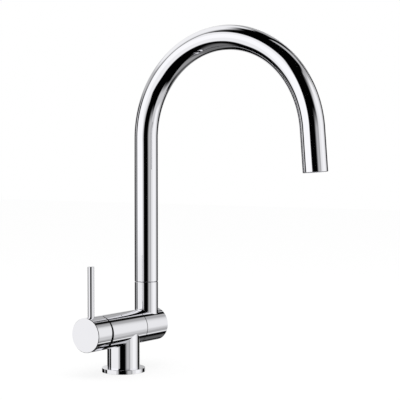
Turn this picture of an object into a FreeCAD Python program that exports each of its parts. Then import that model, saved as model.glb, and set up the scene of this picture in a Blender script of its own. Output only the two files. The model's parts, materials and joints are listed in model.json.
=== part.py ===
import FreeCAD, Part
import math
import os

import Sketcher

# A chrome kitchen tap for hot, cold and filtered water.
#
# Millimetres.  The origin is the middle of the flange's underside, on the deck.
# +Z is up, the lying barrel runs along X with the lever at its -X end, and the
# spout reaches out over the sink towards -Y.

# ---------------------------------------------------------------------------
# Driving sizes: name, value, what it measures
# ---------------------------------------------------------------------------
SIZES = [
    ("tube_diameter", 28.0, "outside of the spout tube and of the stub that it stands on"),
    ("tube_wall", 1.2, "wall of the spout tube"),
    ("arch_radius", 113.2, "bend of the spout, to the middle of the tube"),
    ("arch_angle", 175.3, "how far the spout turns over, in degrees"),
    ("arch_height", 270.9, "where the bend starts, above the deck"),
    ("outlet_length", 47.7, "straight run from the bend to the outlet"),
    ("outlet_round", 0.5, "rounding of the outlet's edge"),
    ("swivel_height", 101.4, "seam that the spout turns on, above the deck"),
    ("swivel_half_range", 90.0, "how far the spout swings to each side, in degrees"),
    ("filter_tube_diameter", 8.0, "inner tube that keeps the filtered water apart"),
    ("filter_tube_wall", 1.0, "wall of that inner tube"),
    ("flange_diameter", 50.4, "foot flange"),
    ("flange_thickness", 4.8, "foot flange"),
    ("flange_chamfer", 0.5, "top edge of the flange"),
    ("pedestal_diameter", 38.0, "upright leg under the barrel"),
    ("pedestal_wall", 3.0, "wall of the leg round the hoses"),
    ("spigot_drop", 3.4, "how far the leg reaches down into the flange"),
    ("gasket_inner", 37.0, "inside of the rubber ring under the flange"),
    ("gasket_width", 3.0, "of that ring, inside to outside"),
    ("gasket_thickness", 1.6, "of that ring"),
    ("inlet_block_height", 18.0, "underside of the block that the hoses screw into"),
    ("inlet_block_thickness", 10.0, "of that block"),
    ("inlet_circle", 19.0, "circle through the middles of the three hose threads"),
    ("inlet_thread", 9.0, "core hole of each hose thread"),
    ("stud_thread", 5.0, "core hole of the fixing stud's thread"),
    ("stud_depth", 8.5, "of that hole"),
    ("waterway", 5.0, "drilled ways inside the castings"),
    ("body_diameter", 39.2, "lying barrel"),
    ("body_axis_height", 49.5, "middle of the barrel above the deck"),
    ("body_left", 41.9, "from the pedestal's middle to the barrel's end under the lever"),
    ("body_right", 20.8, "from the pedestal's middle to the seam beside it"),
    ("seam_gap", 0.4, "open line between two sections"),
    ("seam_bevel", 0.3, "broken edge beside each seam"),
    ("foot_end", 60.8, "from the pedestal's middle to the barrel's far end"),
    ("riser_offset", 44.1, "from the pedestal's middle to the upright tube"),
    ("riser_fillet", 2.2, "between the barrel and the stub"),
    ("coupling_diameter", 26.0, "threaded sleeve that joins the two sections"),
    ("coupling_wall", 3.0, "of that sleeve"),
    ("coupling_engagement", 12.0, "thread length in each section"),
    ("section_seal_land", 0.75, "metal between that sleeve and the rubber ring in the seam"),
    ("section_seal_width", 2.2, "that rubber ring, across"),
    ("section_seal_depth", 1.2, "groove of that ring"),
    ("cartridge_diameter", 28.0, "mixing cartridge"),
    ("cartridge_depth", 27.9, "from the barrel's end to the cartridge's seat"),
    ("cartridge_wall", 1.8, "of the cartridge's housing"),
    ("cartridge_base_thickness", 4.25, "ported plate at the cartridge's foot"),
    ("cartridge_neck", 21.0, "outside of the cartridge's neck"),
    ("neck_setback", 1.9, "the neck's end inside the barrel's end"),
    ("shoulder_setback", 10.9, "the cartridge's shoulder inside the barrel's end"),
    ("nut_diameter", 32.0, "thread of the nut that holds the cartridge"),
    ("nut_setback", 2.4, "the nut's face inside the barrel's end"),
    ("pivot_setback", 5.9, "the lever's pivot inside the barrel's end"),
    ("pivot_pin_diameter", 2.5, "pin that the lever's stem rocks on"),
    ("disc_diameter", 24.0, "fixed ceramic disc of the cartridge"),
    ("disc_thickness", 3.0, "of that disc"),
    ("sliding_disc_diameter", 19.0, "moving ceramic disc"),
    ("sliding_disc_thickness", 4.0, "of that disc"),
    ("disc_port", 4.0, "water holes through the discs"),
    ("disc_port_circle", 12.0, "circle through those holes"),
    ("port_seal_wall", 1.2, "rubber rings under the cartridge"),
    ("port_seal_height", 1.0, "of those rings"),
    ("stem_size", 6.4, "square stem of the lever"),
    ("finger_diameter", 3.0, "stem behind the pivot"),
    ("finger_ball", 4.0, "ball on the end of the stem"),
    ("dome_radius", 16.0, "round cover over the cartridge nut"),
    ("dome_wall", 1.4, "of that cover"),
    ("dome_hole", 17.0, "mouth of that cover, round the stem"),
    ("dome_clearance", 1.4, "from that cover to the lever cap's inner floor"),
    ("handle_wall", 2.4, "of the lever cap"),
    ("handle_rod_wall", 1.3, "cap's metal between its inner floor and the lever rod"),
    ("handle_face_wall", 6.3, "cap's metal between the lever rod and its flat face"),
    ("handle_gap_top", 1.4, "open seam behind the lever cap, at the lever's side"),
    ("handle_gap_bottom", 5.0, "the same seam on the far side, which lets the lever tilt"),
    ("handle_chamfer", 0.5, "edge round the cap's flat face"),
    ("lever_diameter", 7.4, "lever rod"),
    ("lever_top", 126.1, "top of the lever rod above the deck"),
    ("lever_thread", 5.0, "threaded foot of the lever rod"),
    ("lever_socket", 13.0, "bottom of the rod's socket above the barrel's middle"),
    ("grub_diameter", 5.0, "screw that holds the cap on the stem"),
    ("grub_length", 9.0, "of that screw"),
    ("plug_thickness", 3.0, "cover over that screw"),
    ("stub_bore", 22.4, "bearing inside the stub"),
    ("stub_web", 3.6, "metal between the filter valve and the bottom of that bearing"),
    ("sleeve_end_gap", 2.9, "room under the sleeve that turns in it"),
    ("sleeve_engagement", 20.4, "that sleeve up inside the spout"),
    ("sleeve_bore", 16.0, "water way through the sleeve"),
    ("running_clearance", 0.08, "between a shaft and its bearing, all round"),
    ("assembly_clearance", 0.3, "between neighbours that must not rub"),
    ("o_ring", 2.0, "section of the rubber rings on the sleeve"),
    ("glide_height", 3.0, "plastic glide rings, up the sleeve"),
    ("glide_depth", 1.2, "of their grooves"),
    ("stop_diameter", 4.0, "stop screw"),
    ("stop_depth", 1.6, "groove that the stop screw runs in"),
    ("stop_track_spare", 16.0, "that groove past the spout's range at each end, in degrees"),
    ("nipple_engagement", 10.0, "fixed pipe up inside the inner tube"),
    ("rise_way", 4.0, "drilled way for the mixed water up to the stub"),
    ("feed_diameter", 4.0, "small pipe that takes the filtered water through the coupling"),
    ("feed_wall", 0.7, "of that pipe"),
    ("feed_drop", 2.8, "that pipe below the barrel's middle"),
    ("feed_land", 1.5, "metal between the filtered water's rise and the coupling"),
    ("valve_diameter", 20.0, "filter valve"),
    ("valve_disc", 16.0, "its ceramic discs"),
    ("valve_disc_thickness", 3.0, "of each disc"),
    ("valve_disc_port", 3.0, "water hole in the fixed disc and slot in the turning one"),
    ("valve_port_offset", 3.2, "that hole from the barrel's middle"),
    ("valve_seal_thickness", 1.2, "rubber ring under the fixed disc"),
    ("valve_hexagon", 22.0, "across the flats of its nut"),
    ("valve_hexagon_thickness", 1.0, "of its nut"),
    ("spindle_diameter", 8.0, "spindle of the filter valve"),
    ("spindle_flange", 2.5, "thickness of the spindle's driving flange"),
    ("knob_diameter", 27.0, "filter knob"),
    ("knob_recess", 29.0, "recess in the barrel's end round the knob"),
    ("knob_recess_depth", 5.2, "of that recess"),
    ("knob_proud", 5.4, "how far the knob stands out of the barrel"),
    ("knob_skirt", 3.9, "depth of the knob inside the recess"),
    ("knob_socket", 7.0, "depth of the spindle inside the knob"),
    ("knob_notch", 2.4, "finger flutes round the knob"),
    ("knob_notch_count", 12, "number of those flutes"),
    ("adapter_wall", 1.8, "threaded ring inside the outlet"),
    ("adapter_length", 14.0, "of that ring"),
    ("adapter_setback", 1.6, "that ring inside the tube's end"),
    ("aerator_wall", 1.6, "of the aerator's cup"),
    ("aerator_setback", 0.8, "that cup inside the tube's end"),
    ("aerator_length", 11.0, "of that cup"),
    ("aerator_lip", 1.0, "edge of that cup"),
    ("screen_thickness", 2.0, "of the aerator's jet plate"),
    ("screen_setback", 2.6, "jet plate inside the tube's end"),
    ("jet_diameter", 1.4, "holes of the jet plate"),
    ("jet_count", 12, "holes in the jet plate's outer ring"),
    ("gauze_thickness", 1.0, "fine screen above the jet plate"),
    ("gauze_setback", 6.0, "that screen inside the tube's end"),
    ("nozzle_setback", 0.6, "nozzle of the filtered water inside the tube's end"),
    ("nozzle_length", 10.0, "of that nozzle below the inner tube"),
    ("nozzle_spigot", 4.0, "of its spigot up inside the inner tube"),
    ("spacer_thickness", 4.0, "star that holds the inner tube in the sleeve"),
    ("spacer_way", 3.0, "water holes through that star"),
]

OVERSHOOT = 1.0  # how far a cutting tool reaches past what it cuts
X, Y, Z = FreeCAD.Vector(1, 0, 0), FreeCAD.Vector(0, 1, 0), FreeCAD.Vector(0, 0, 1)

document = FreeCAD.newDocument("tap")
sheet = document.addObject("Spreadsheet::Sheet", "size")
for row, (alias, number, meaning) in enumerate(SIZES, start=1):
    sheet.set(f"A{row}", meaning)
    sheet.set(f"B{row}", str(number))
    sheet.setAlias(f"B{row}", alias)
document.recompute()


class Formula:
    """A length worked out from the sheet: the text binds a feature to it, the value is its present size."""

    def __init__(self, text, value):
        self.text = text
        self.value = value

    @staticmethod
    def of(number):
        return number if isinstance(number, Formula) else Formula(repr(float(number)), float(number))

    def __add__(self, other):
        other = Formula.of(other)
        return Formula(f"({self.text} + {other.text})", self.value + other.value)

    def __sub__(self, other):
        other = Formula.of(other)
        return Formula(f"({self.text} - {other.text})", self.value - other.value)

    def __mul__(self, other):
        other = Formula.of(other)
        return Formula(f"({self.text} * {other.text})", self.value * other.value)

    def __truediv__(self, other):
        other = Formula.of(other)
        return Formula(f"({self.text} / {other.text})", self.value / other.value)

    def __rsub__(self, other):
        return Formula.of(other) - self

    def __neg__(self):
        return Formula(f"(0 - {self.text})", -self.value)


class Sizes:
    """The sheet's cells by name."""

    def __getattr__(self, alias):
        return Formula(f"size.{alias}", float(sheet.get(alias)))


s = Sizes()
DEGREE = Formula("1 deg", 1.0)  # makes a plain number an angle in a formula


# ---------------------------------------------------------------------------
# Modelling helpers
# ---------------------------------------------------------------------------
def bind(thing, **properties):
    """Ties properties to formulas; a double underscore stands for the dot in a property path."""
    for path, number in properties.items():
        thing.setExpression(path.replace("__", "."), Formula.of(number).text)


def move(thing, x=0, y=0, z=0, rotation=None):
    """Puts a thing at a place worked out from the sheet, after turning it."""
    if rotation is not None:
        thing.Placement = FreeCAD.Placement(FreeCAD.Vector(), rotation)
    bind(thing, Placement__Base__x=x, Placement__Base__y=y, Placement__Base__z=z)


def origin_plane(body, role):
    return [plane for plane in body.Origin.OriginFeatures if plane.Role == role][0]


def new_sketch(body, name, role):
    sketch = body.newObject("Sketcher::SketchObject", name)
    sketch.AttachmentSupport = (origin_plane(body, role), [""])
    sketch.MapMode = "FlatFace"
    return sketch


def draw_outline(sketch, corners):
    """Draws a closed outline of straight lines and ties each corner to its two formulas."""
    corners = [(Formula.of(a), Formula.of(b)) for a, b in corners]
    points = [FreeCAD.Vector(a.value, b.value, 0) for a, b in corners]
    count = len(points)
    for i in range(count):
        sketch.addGeometry(Part.LineSegment(points[i], points[(i + 1) % count]), False)
    for i in range(count):
        sketch.addConstraint(Sketcher.Constraint("Coincident", i, 2, (i + 1) % count, 1))
    for i, (a, b) in enumerate(corners):
        for kind, axis, number in (("DistanceX", -2, a), ("DistanceY", -1, b)):
            if number.text == "0.0":
                sketch.addConstraint(Sketcher.Constraint("PointOnObject", i, 1, axis))
            else:
                index = sketch.addConstraint(Sketcher.Constraint(kind, -1, 1, i, 1, number.value))
                sketch.setExpression(f"Constraints[{index}]", number.text)


def draw_circle(sketch, diameter, x=0, y=0):
    """Draws a circle whose size and middle are tied to formulas."""
    x, y, radius = Formula.of(x), Formula.of(y), Formula.of(diameter) / 2
    centre = FreeCAD.Vector(x.value, y.value, 0)
    ring = sketch.addGeometry(Part.Circle(centre, Z, radius.value), False)
    index = sketch.addConstraint(Sketcher.Constraint("Radius", ring, radius.value))
    sketch.setExpression(f"Constraints[{index}]", radius.text)
    for kind, axis, number in (("DistanceX", -2, x), ("DistanceY", -1, y)):
        if number.text == "0.0":
            sketch.addConstraint(Sketcher.Constraint("PointOnObject", ring, 3, axis))
        else:
            index = sketch.addConstraint(Sketcher.Constraint(kind, -1, 1, ring, 3, number.value))
            sketch.setExpression(f"Constraints[{index}]", number.text)


def turned(label, outline, lying=False):
    """A lathe-turned piece.  Each corner of its half section is (place along the axis, radius)."""
    body = document.addObject("PartDesign::Body", label)
    sketch = new_sketch(body, label + "_section", "XZ_Plane")
    draw_outline(sketch, outline if lying else [(radius, along) for along, radius in outline])
    turn = body.newObject("PartDesign::Revolution", label + "_turn")
    turn.Profile = sketch
    turn.ReferenceAxis = (sketch, ["H_Axis" if lying else "V_Axis"])
    turn.Angle = 360
    sketch.Visibility = False
    if lying:
        move(body, z=s.body_axis_height)
    document.recompute()
    return body


def ring_outline(start, end, inner, outer):
    """Half section of a plain ring between two places along its axis."""
    return [(start, Formula.of(inner) / 2), (start, Formula.of(outer) / 2),
            (end, Formula.of(outer) / 2), (end, Formula.of(inner) / 2)]


def rod_outline(start, end, diameter):
    """Half section of a plain round rod."""
    radius = Formula.of(diameter) / 2
    return [(start, 0), (start, radius), (end, radius), (end, 0)]


def cylinder(name, diameter, start, end, x=0, y=0, z=0, along=Z):
    """A round bar from start to end along one axis, used as a tool or as a plain piece."""
    bar = document.addObject("Part::Cylinder", name)
    start, end = Formula.of(start), Formula.of(end)
    bind(bar, Radius=Formula.of(diameter) / 2, Height=end - start)
    place = {"x": Formula.of(x), "y": Formula.of(y), "z": Formula.of(z)}
    axis_name = "xyz"[[X, Y, Z].index(along)]
    place[axis_name] = place[axis_name] + start
    move(bar, rotation=FreeCAD.Rotation(Z, along), **place)
    return bar


def block(name, low, high):
    """A box between two corners."""
    box = document.addObject("Part::Box", name)
    low = [Formula.of(number) for number in low]
    high = [Formula.of(number) for number in high]
    bind(box, Length=high[0] - low[0], Width=high[1] - low[1], Height=high[2] - low[2])
    move(box, x=low[0], y=low[1], z=low[2])
    return box


def cut(label, base, *tools):
    """Takes the tools away from the base, one after the other."""
    for number, tool in enumerate(tools, start=1):
        result = document.addObject("Part::Cut", label if number == len(tools) else f"{label}_cut_{number}")
        result.Base, result.Tool = base, tool
        base = result
    document.recompute()
    return base


def fuse(label, *pieces):
    result = document.addObject("Part::MultiFuse", label)
    result.Shapes = list(pieces)
    result.Refine = True
    document.recompute()
    return result


def common(label, first, second):
    result = document.addObject("Part::Common", label)
    result.Base, result.Tool = first, second
    document.recompute()
    return result


def group(label, *pieces):
    """Loose pieces of one kind kept together as one sub-part."""
    result = document.addObject("Part::Compound", label)
    result.Links = list(pieces)
    document.recompute()
    return result


def around(count, diameter, first=0.0):
    """Evenly spaced places on a circle, as pairs of formulas."""
    for i in range(count):
        angle = math.radians(first + 360.0 * i / count)
        yield diameter / 2 * math.cos(angle), diameter / 2 * math.sin(angle)


# ---------------------------------------------------------------------------
# Places along the barrel and up the riser that several pieces share
# ---------------------------------------------------------------------------
axis = s.body_axis_height
barrel_end = -s.body_left
pivot = barrel_end + s.pivot_setback
cartridge_seat = barrel_end + s.cartridge_depth
cartridge_shoulder = barrel_end + s.shoulder_setback
neck_end = barrel_end + s.neck_setback
nut_face = barrel_end + s.nut_setback
cap_floor = pivot - s.dome_radius - s.dome_clearance
rod_x = cap_floor - s.handle_rod_wall - s.lever_diameter / 2
stem_end = rod_x - s.lever_diameter / 2
cap_face = stem_end - s.handle_face_wall
foot_start = s.body_right + s.seam_gap
coupling_start = s.body_right - s.coupling_engagement
coupling_end = foot_start + s.coupling_engagement
knob_floor = s.foot_end - s.knob_recess_depth
leg_bore = s.pedestal_diameter - s.pedestal_wall * 2
leg_foot = s.flange_thickness - s.spigot_drop
block_top = s.inlet_block_height + s.inlet_block_thickness
tube_bore = s.tube_diameter - s.tube_wall * 2
filter_tube_bore = s.filter_tube_diameter - s.filter_tube_wall * 2
nipple_bore = filter_tube_bore - s.filter_tube_wall * 2
spigot = leg_bore + s.pedestal_wall
stub_floor = axis + s.valve_diameter / 2 + s.stub_web
stub_top = s.swivel_height - s.seam_gap / 2
tube_foot = s.swivel_height + s.seam_gap / 2
sleeve_foot = stub_floor + s.sleeve_end_gap
sleeve_head = tube_foot + s.sleeve_engagement
journal = s.stub_bore / 2 - s.running_clearance
glide_top = stub_top - s.glide_height / 2
bearing_low = sleeve_foot + s.glide_height
bearing_step = (glide_top - s.glide_height - bearing_low) / 4
stop_height = bearing_low + bearing_step
o_ring_heights = [stop_height + bearing_step, stop_height + bearing_step * 2]
fixed_disc_end = s.riser_offset - s.valve_disc_thickness / 2
fixed_disc_start = fixed_disc_end - s.valve_disc_thickness
valve_seat = fixed_disc_start - s.valve_seal_thickness
rise_x = (coupling_end + valve_seat) / 2
feed_height = axis - s.feed_drop
filtered_x = coupling_start - s.feed_land - s.waterway / 2


# ---------------------------------------------------------------------------
# Foot: flange, rubber ring, hose block
# ---------------------------------------------------------------------------
def make_flange():
    outer = s.flange_diameter / 2
    inner = spigot / 2
    groove_in = s.gasket_inner / 2
    groove_out = groove_in + s.gasket_width
    return turned("base_flange", [
        (0, inner), (0, groove_in), (s.gasket_thickness, groove_in),
        (s.gasket_thickness, groove_out), (0, groove_out), (0, outer),
        (s.flange_thickness - s.flange_chamfer, outer),
        (s.flange_thickness, outer - s.flange_chamfer), (s.flange_thickness, inner)])


def make_gasket():
    inner = s.gasket_inner
    return turned("base_gasket", ring_outline(0, s.gasket_thickness, inner, inner + s.gasket_width * 2))


def make_inlet_block():
    plate = turned("inlet_plate", rod_outline(s.inlet_block_height, block_top, leg_bore))
    holes = [cylinder(f"inlet_hole_{i}", s.inlet_thread, s.inlet_block_height, block_top, x=x, y=y)
             for i, (x, y) in enumerate(around(3, s.inlet_circle), start=1)]
    stud = cylinder("stud_hole", s.stud_thread, s.inlet_block_height, s.inlet_block_height + s.stud_depth)
    return cut("inlet_block", plate, *holes, stud)


# ---------------------------------------------------------------------------
# Castings
# ---------------------------------------------------------------------------
def make_main_body():
    """The middle of the barrel on its upright leg, bored for the cartridge and for the hoses."""
    radius = s.body_diameter / 2
    bevel = s.seam_bevel
    barrel = turned("barrel_middle", [
        (barrel_end, 0), (barrel_end, radius - bevel), (barrel_end + bevel, radius),
        (s.body_right - bevel, radius), (s.body_right, radius - bevel), (s.body_right, 0)], lying=True)
    leg = turned("leg", [
        (leg_foot, 0), (leg_foot, spigot / 2), (s.flange_thickness, spigot / 2),
        (s.flange_thickness, s.pedestal_diameter / 2), (axis, s.pedestal_diameter / 2), (axis, 0)])
    solid = fuse("main_casting", barrel, leg)
    tools = [
        cylinder("nut_bore", s.nut_diameter, barrel_end, cartridge_shoulder, z=axis, along=X),
        cylinder("cartridge_bore", s.cartridge_diameter, barrel_end, cartridge_seat, z=axis, along=X),
        cylinder("coupling_bore", s.coupling_diameter, coupling_start, s.body_right, z=axis, along=X),
        turned("seal_groove", seal_outline(s.body_right), lying=True),
        cylinder("leg_hollow", leg_bore, leg_foot, block_top),
        cylinder("filtered_rise", s.waterway, block_top, feed_height + s.waterway / 2, x=filtered_x),
        cylinder("filtered_entry", s.feed_diameter, filtered_x, coupling_start, z=feed_height, along=X),
    ]
    mixed, hot, cold = around(3, s.disc_port_circle, first=90.0)
    tools.append(cylinder("mixed_way", s.waterway, cartridge_seat, coupling_start,
                          y=mixed[0], z=axis + mixed[1], along=X))
    turn_in = cartridge_seat + s.waterway
    for side, (y, z) in (("cold", cold), ("hot", hot)):
        tools.append(cylinder(f"{side}_rise", s.waterway, block_top, axis + z + s.disc_port, x=turn_in, y=y))
        tools.append(cylinder(f"{side}_entry", s.disc_port, cartridge_seat, turn_in,
                              y=y, z=axis + z, along=X))
    return cut("main_body", solid, *tools)


def seal_outline(end):
    """Half section of the rubber ring between the two castings, up to the given end."""
    inner = s.coupling_diameter + s.section_seal_land * 2
    return ring_outline(s.body_right - s.section_seal_depth, end, inner, inner + s.section_seal_width * 2)


def make_spout_foot():
    """The far section of the barrel with the stub that the spout stands on.

    Its half section is drawn below the axis, which keeps the turned face's seam away from the stub.
    """
    radius = s.body_diameter / 2
    bevel = s.seam_bevel
    body = turned("foot_casting", [
        (foot_start, 0), (foot_start, bevel - radius), (foot_start + bevel, -radius),
        (s.foot_end - bevel, -radius), (s.foot_end, bevel - radius), (s.foot_end, 0)], lying=True)
    stub_circle = new_sketch(body, "stub_circle", "XY_Plane")
    draw_circle(stub_circle, s.tube_diameter, x=s.riser_offset)
    stub = body.newObject("PartDesign::Pad", "stub")
    stub.Profile = stub_circle
    bind(stub, Length=stub_top - axis)
    stub_circle.Visibility = False
    document.recompute()
    meeting = [f"Edge{i}" for i, edge in enumerate(body.Shape.Edges, start=1) if is_meeting(edge)]
    fillet = body.newObject("PartDesign::Fillet", "stub_root")
    fillet.Base = (stub, meeting)
    bind(fillet, Radius=s.riser_fillet)
    document.recompute()
    mixed_height = axis + s.disc_port_circle / 2
    return cut(
        "spout_foot", body,
        cylinder("stub_bearing", s.stub_bore, stub_floor, stub_top, x=s.riser_offset),
        cylinder("coupling_socket", s.coupling_diameter, foot_start, coupling_end, z=axis, along=X),
        cylinder("valve_bore", s.valve_diameter, valve_seat, s.foot_end, z=axis, along=X),
        cylinder("knob_well", s.knob_recess, knob_floor, s.foot_end, z=axis, along=X),
        cylinder("nipple_bore", filter_tube_bore, axis, stub_floor, x=s.riser_offset),
        cylinder("mixed_turn", s.waterway, coupling_end, rise_x, z=mixed_height, along=X),
        cylinder("mixed_rise", s.rise_way, mixed_height, stub_floor, x=rise_x),
        cylinder("feed_exit", s.feed_diameter, coupling_end, valve_seat, z=feed_height, along=X),
        cylinder("stop_thread", s.stop_diameter, 0, s.tube_diameter / 2,
                 x=s.riser_offset, z=stop_height, along=Y))


def is_meeting(edge):
    """True for the curve where the stub meets the round barrel: the only one with a rise between the ends."""
    box = edge.BoundBox
    inside = box.XMin > foot_start.value + OVERSHOOT and box.XMax < s.foot_end.value - OVERSHOOT
    on_barrel = axis.value < box.ZMin and box.ZMax < axis.value + s.body_diameter.value / 2 + OVERSHOOT
    return inside and on_barrel and box.ZLength > OVERSHOOT


def make_coupling():
    inner = s.coupling_diameter - s.coupling_wall * 2
    return turned("coupling_sleeve", ring_outline(coupling_start, coupling_end,
                                                  inner, s.coupling_diameter), lying=True)


def make_section_seal():
    return turned("section_seal", seal_outline(foot_start), lying=True)


def make_filter_feed():
    """The small pipe that keeps the filtered water apart on its way through the coupling."""
    feed = turned("filter_feed", ring_outline(filtered_x + s.waterway / 2, valve_seat,
                                              s.feed_diameter - s.feed_wall * 2, s.feed_diameter), lying=True)
    move(feed, z=feed_height)
    return feed


# ---------------------------------------------------------------------------
# Mixing cartridge
# ---------------------------------------------------------------------------
base_foot = cartridge_seat - s.port_seal_height
disc_foot = base_foot - s.cartridge_base_thickness
disc_face = disc_foot - s.disc_thickness
sliding_face = disc_face - s.sliding_disc_thickness
pocket_floor = disc_face - s.assembly_clearance * 2
ball_x = pocket_floor - s.assembly_clearance - s.finger_ball / 2
carrier_foot = sliding_face - s.assembly_clearance
housing_bore = s.cartridge_diameter - s.cartridge_wall * 2
carrier_neck = s.cartridge_neck - s.cartridge_wall


def ported_disc(label, start, end, diameter):
    """A round disc with the three water holes of the cartridge through it."""
    plate = turned(label + "_plate", rod_outline(start, end, diameter), lying=True)
    holes = [cylinder(f"{label}_hole_{i}", s.disc_port, start, end, y=y, z=axis + z, along=X)
             for i, (y, z) in enumerate(around(3, s.disc_port_circle, first=90.0), start=1)]
    return cut(label, plate, *holes)


def make_cartridge_housing():
    return turned("cartridge_housing", [
        (cartridge_seat, housing_bore / 2), (cartridge_seat, s.cartridge_diameter / 2),
        (cartridge_shoulder, s.cartridge_diameter / 2), (cartridge_shoulder, s.cartridge_neck / 2),
        (neck_end, s.cartridge_neck / 2), (neck_end, carrier_neck / 2 + s.running_clearance),
        (cartridge_shoulder + s.cartridge_wall, carrier_neck / 2 + s.running_clearance),
        (cartridge_shoulder + s.cartridge_wall, housing_bore / 2)], lying=True)


def make_cartridge_base():
    return ported_disc("cartridge_base", disc_foot, base_foot, housing_bore)


def make_fixed_disc():
    return ported_disc("fixed_disc", disc_face, disc_foot, s.disc_diameter)


def make_port_seals():
    inner = s.disc_port
    rings = []
    for i, (y, z) in enumerate(around(3, s.disc_port_circle, first=90.0), start=1):
        outer = cylinder(f"port_seal_{i}", inner + s.port_seal_wall * 2, base_foot, cartridge_seat,
                         y=y, z=axis + z, along=X)
        hole = cylinder(f"port_seal_hole_{i}", inner, base_foot, cartridge_seat, y=y, z=axis + z, along=X)
        rings.append(cut(f"port_seal_ring_{i}", outer, hole))
    return group("cartridge_seals", *rings)


def make_sliding_disc():
    """The moving ceramic disc, with the pocket that the lever's ball sits in."""
    plate = turned("sliding_plate", rod_outline(sliding_face, disc_face, s.sliding_disc_diameter), lying=True)
    pocket = cylinder("ball_pocket", s.finger_ball + s.assembly_clearance, sliding_face, pocket_floor,
                      z=axis, along=X)
    return cut("sliding_disc", plate, pocket)


def make_carrier():
    """The drum that turns with the lever; the stem rocks in its slot."""
    drum_side = housing_bore / 2 - s.assembly_clearance
    step = cartridge_shoulder + s.cartridge_wall + s.assembly_clearance
    drum = turned("carrier_drum", [
        (neck_end, 0), (neck_end, carrier_neck / 2), (step, carrier_neck / 2), (step, drum_side),
        (carrier_foot, drum_side), (carrier_foot, 0)], lying=True)
    half_width = s.stem_size / 2 + s.assembly_clearance / 2
    half_height = s.stem_size / 2 + s.finger_ball / 2
    slot = block("stem_slot", (neck_end - OVERSHOOT, -half_width, axis - half_height),
                 (carrier_foot + OVERSHOOT, half_width, axis + half_height))
    hole = cylinder("pivot_hole", s.pivot_pin_diameter, -carrier_neck / 2, carrier_neck / 2,
                    x=pivot, z=axis, along=Y)
    return cut("cartridge_carrier", drum, slot, hole)


def make_pivot_pin():
    length = carrier_neck - s.assembly_clearance * 2
    return cylinder("stem_pivot", s.pivot_pin_diameter, -length / 2, length / 2, x=pivot, z=axis, along=Y)


def make_cartridge_nut():
    return turned("cartridge_nut", ring_outline(nut_face, cartridge_shoulder,
                                                s.cartridge_neck, s.nut_diameter), lying=True)


def make_dome():
    """The thin round cover that closes the gap behind the lever cap at every tilt."""
    shells = []
    for name, radius in (("dome_outside", s.dome_radius), ("dome_inside", s.dome_radius - s.dome_wall)):
        ball = document.addObject("Part::Sphere", name)
        bind(ball, Radius=radius)
        move(ball, x=pivot, z=axis)
        shells.append(ball)
    shell = cut("dome_shell", *shells)
    half = cylinder("dome_half", s.dome_radius * 2, pivot - s.dome_radius, nut_face, z=axis, along=X)
    mouth = cylinder("dome_mouth", s.dome_hole, pivot - s.dome_radius, pivot, z=axis, along=X)
    return cut("dome_ring", common("dome_front", shell, half), mouth)


# ---------------------------------------------------------------------------
# Lever
# ---------------------------------------------------------------------------
def make_stem():
    half = s.stem_size / 2
    shank = block("stem_shank", (stem_end, -half, axis - half), (pivot + half, half, axis + half))
    finger = cylinder("stem_finger", s.finger_diameter, pivot, ball_x, z=axis, along=X)
    ball = document.addObject("Part::Sphere", "stem_ball")
    bind(ball, Radius=s.finger_ball / 2)
    move(ball, x=ball_x, z=axis)
    hole = cylinder("stem_hole", s.pivot_pin_diameter + s.running_clearance * 2, -half, half,
                    x=pivot, z=axis, along=Y)
    return cut("cartridge_stem", fuse("stem_solid", shank, finger, ball), hole)


def make_handle_cap():
    """The round cap.  Its rear edge is cut on a slant, so that the seam opens away from the lever."""
    radius = s.body_diameter / 2
    cap_bore = s.body_diameter - s.handle_wall * 2
    blank = turned("cap_blank", [
        (cap_face, 0), (cap_face, radius - s.handle_chamfer), (cap_face + s.handle_chamfer, radius),
        (barrel_end, radius), (barrel_end, 0)], lying=True)
    top_edge = barrel_end - s.handle_gap_top
    bottom_edge = barrel_end - s.handle_gap_bottom
    wedge = document.addObject("PartDesign::Body", "seam_wedge")
    section = new_sketch(wedge, "seam_wedge_section", "XZ_Plane")
    draw_outline(section, [(top_edge, radius), (bottom_edge, -radius),
                           (barrel_end + OVERSHOOT, -radius), (barrel_end + OVERSHOOT, radius)])
    pad = wedge.newObject("PartDesign::Pad", "seam_wedge_pad")
    pad.Profile = section
    pad.Midplane = True
    bind(pad, Length=s.body_diameter + OVERSHOOT * 2)
    move(wedge, z=axis)
    hollow = cylinder("cap_hollow", cap_bore, cap_floor, barrel_end, z=axis, along=X)
    half = s.stem_size / 2
    socket = block("stem_socket", (stem_end, -half, axis - half), (barrel_end, half, axis + half))
    rod_hole = cylinder("rod_hole", s.lever_diameter, s.lever_socket, radius + OVERSHOOT, x=rod_x, z=axis)
    thread = cylinder("rod_thread_hole", s.lever_thread, half + s.handle_chamfer, s.lever_socket,
                      x=rod_x, z=axis)
    screw_hole = cylinder("screw_hole", s.grub_diameter, -radius - OVERSHOOT, -half, x=rod_x, z=axis)
    return cut("handle_cap", blank, wedge, hollow, socket, rod_hole, thread, screw_hole)


def make_lever():
    rod = s.lever_diameter / 2
    top = s.lever_top
    edge = s.handle_chamfer
    shoulder = axis + s.lever_socket
    foot = axis + s.stem_size / 2 + s.handle_chamfer
    lever = turned("lever_rod", [
        (foot, 0), (foot, s.lever_thread / 2), (shoulder, s.lever_thread / 2), (shoulder, rod),
        (top - edge, rod), (top, rod - edge), (top, 0)])
    move(lever, x=rod_x)
    return lever


def make_grub_screw():
    low = axis - s.stem_size / 2 - s.grub_length
    screw = turned("cap_grub_screw", rod_outline(low, low + s.grub_length, s.grub_diameter))
    move(screw, x=rod_x)
    return screw


def make_screw_plug():
    high = axis - s.stem_size / 2 - s.grub_length
    plug = turned("screw_plug", rod_outline(high - s.plug_thickness, high, s.grub_diameter))
    move(plug, x=rod_x)
    return plug


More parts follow.
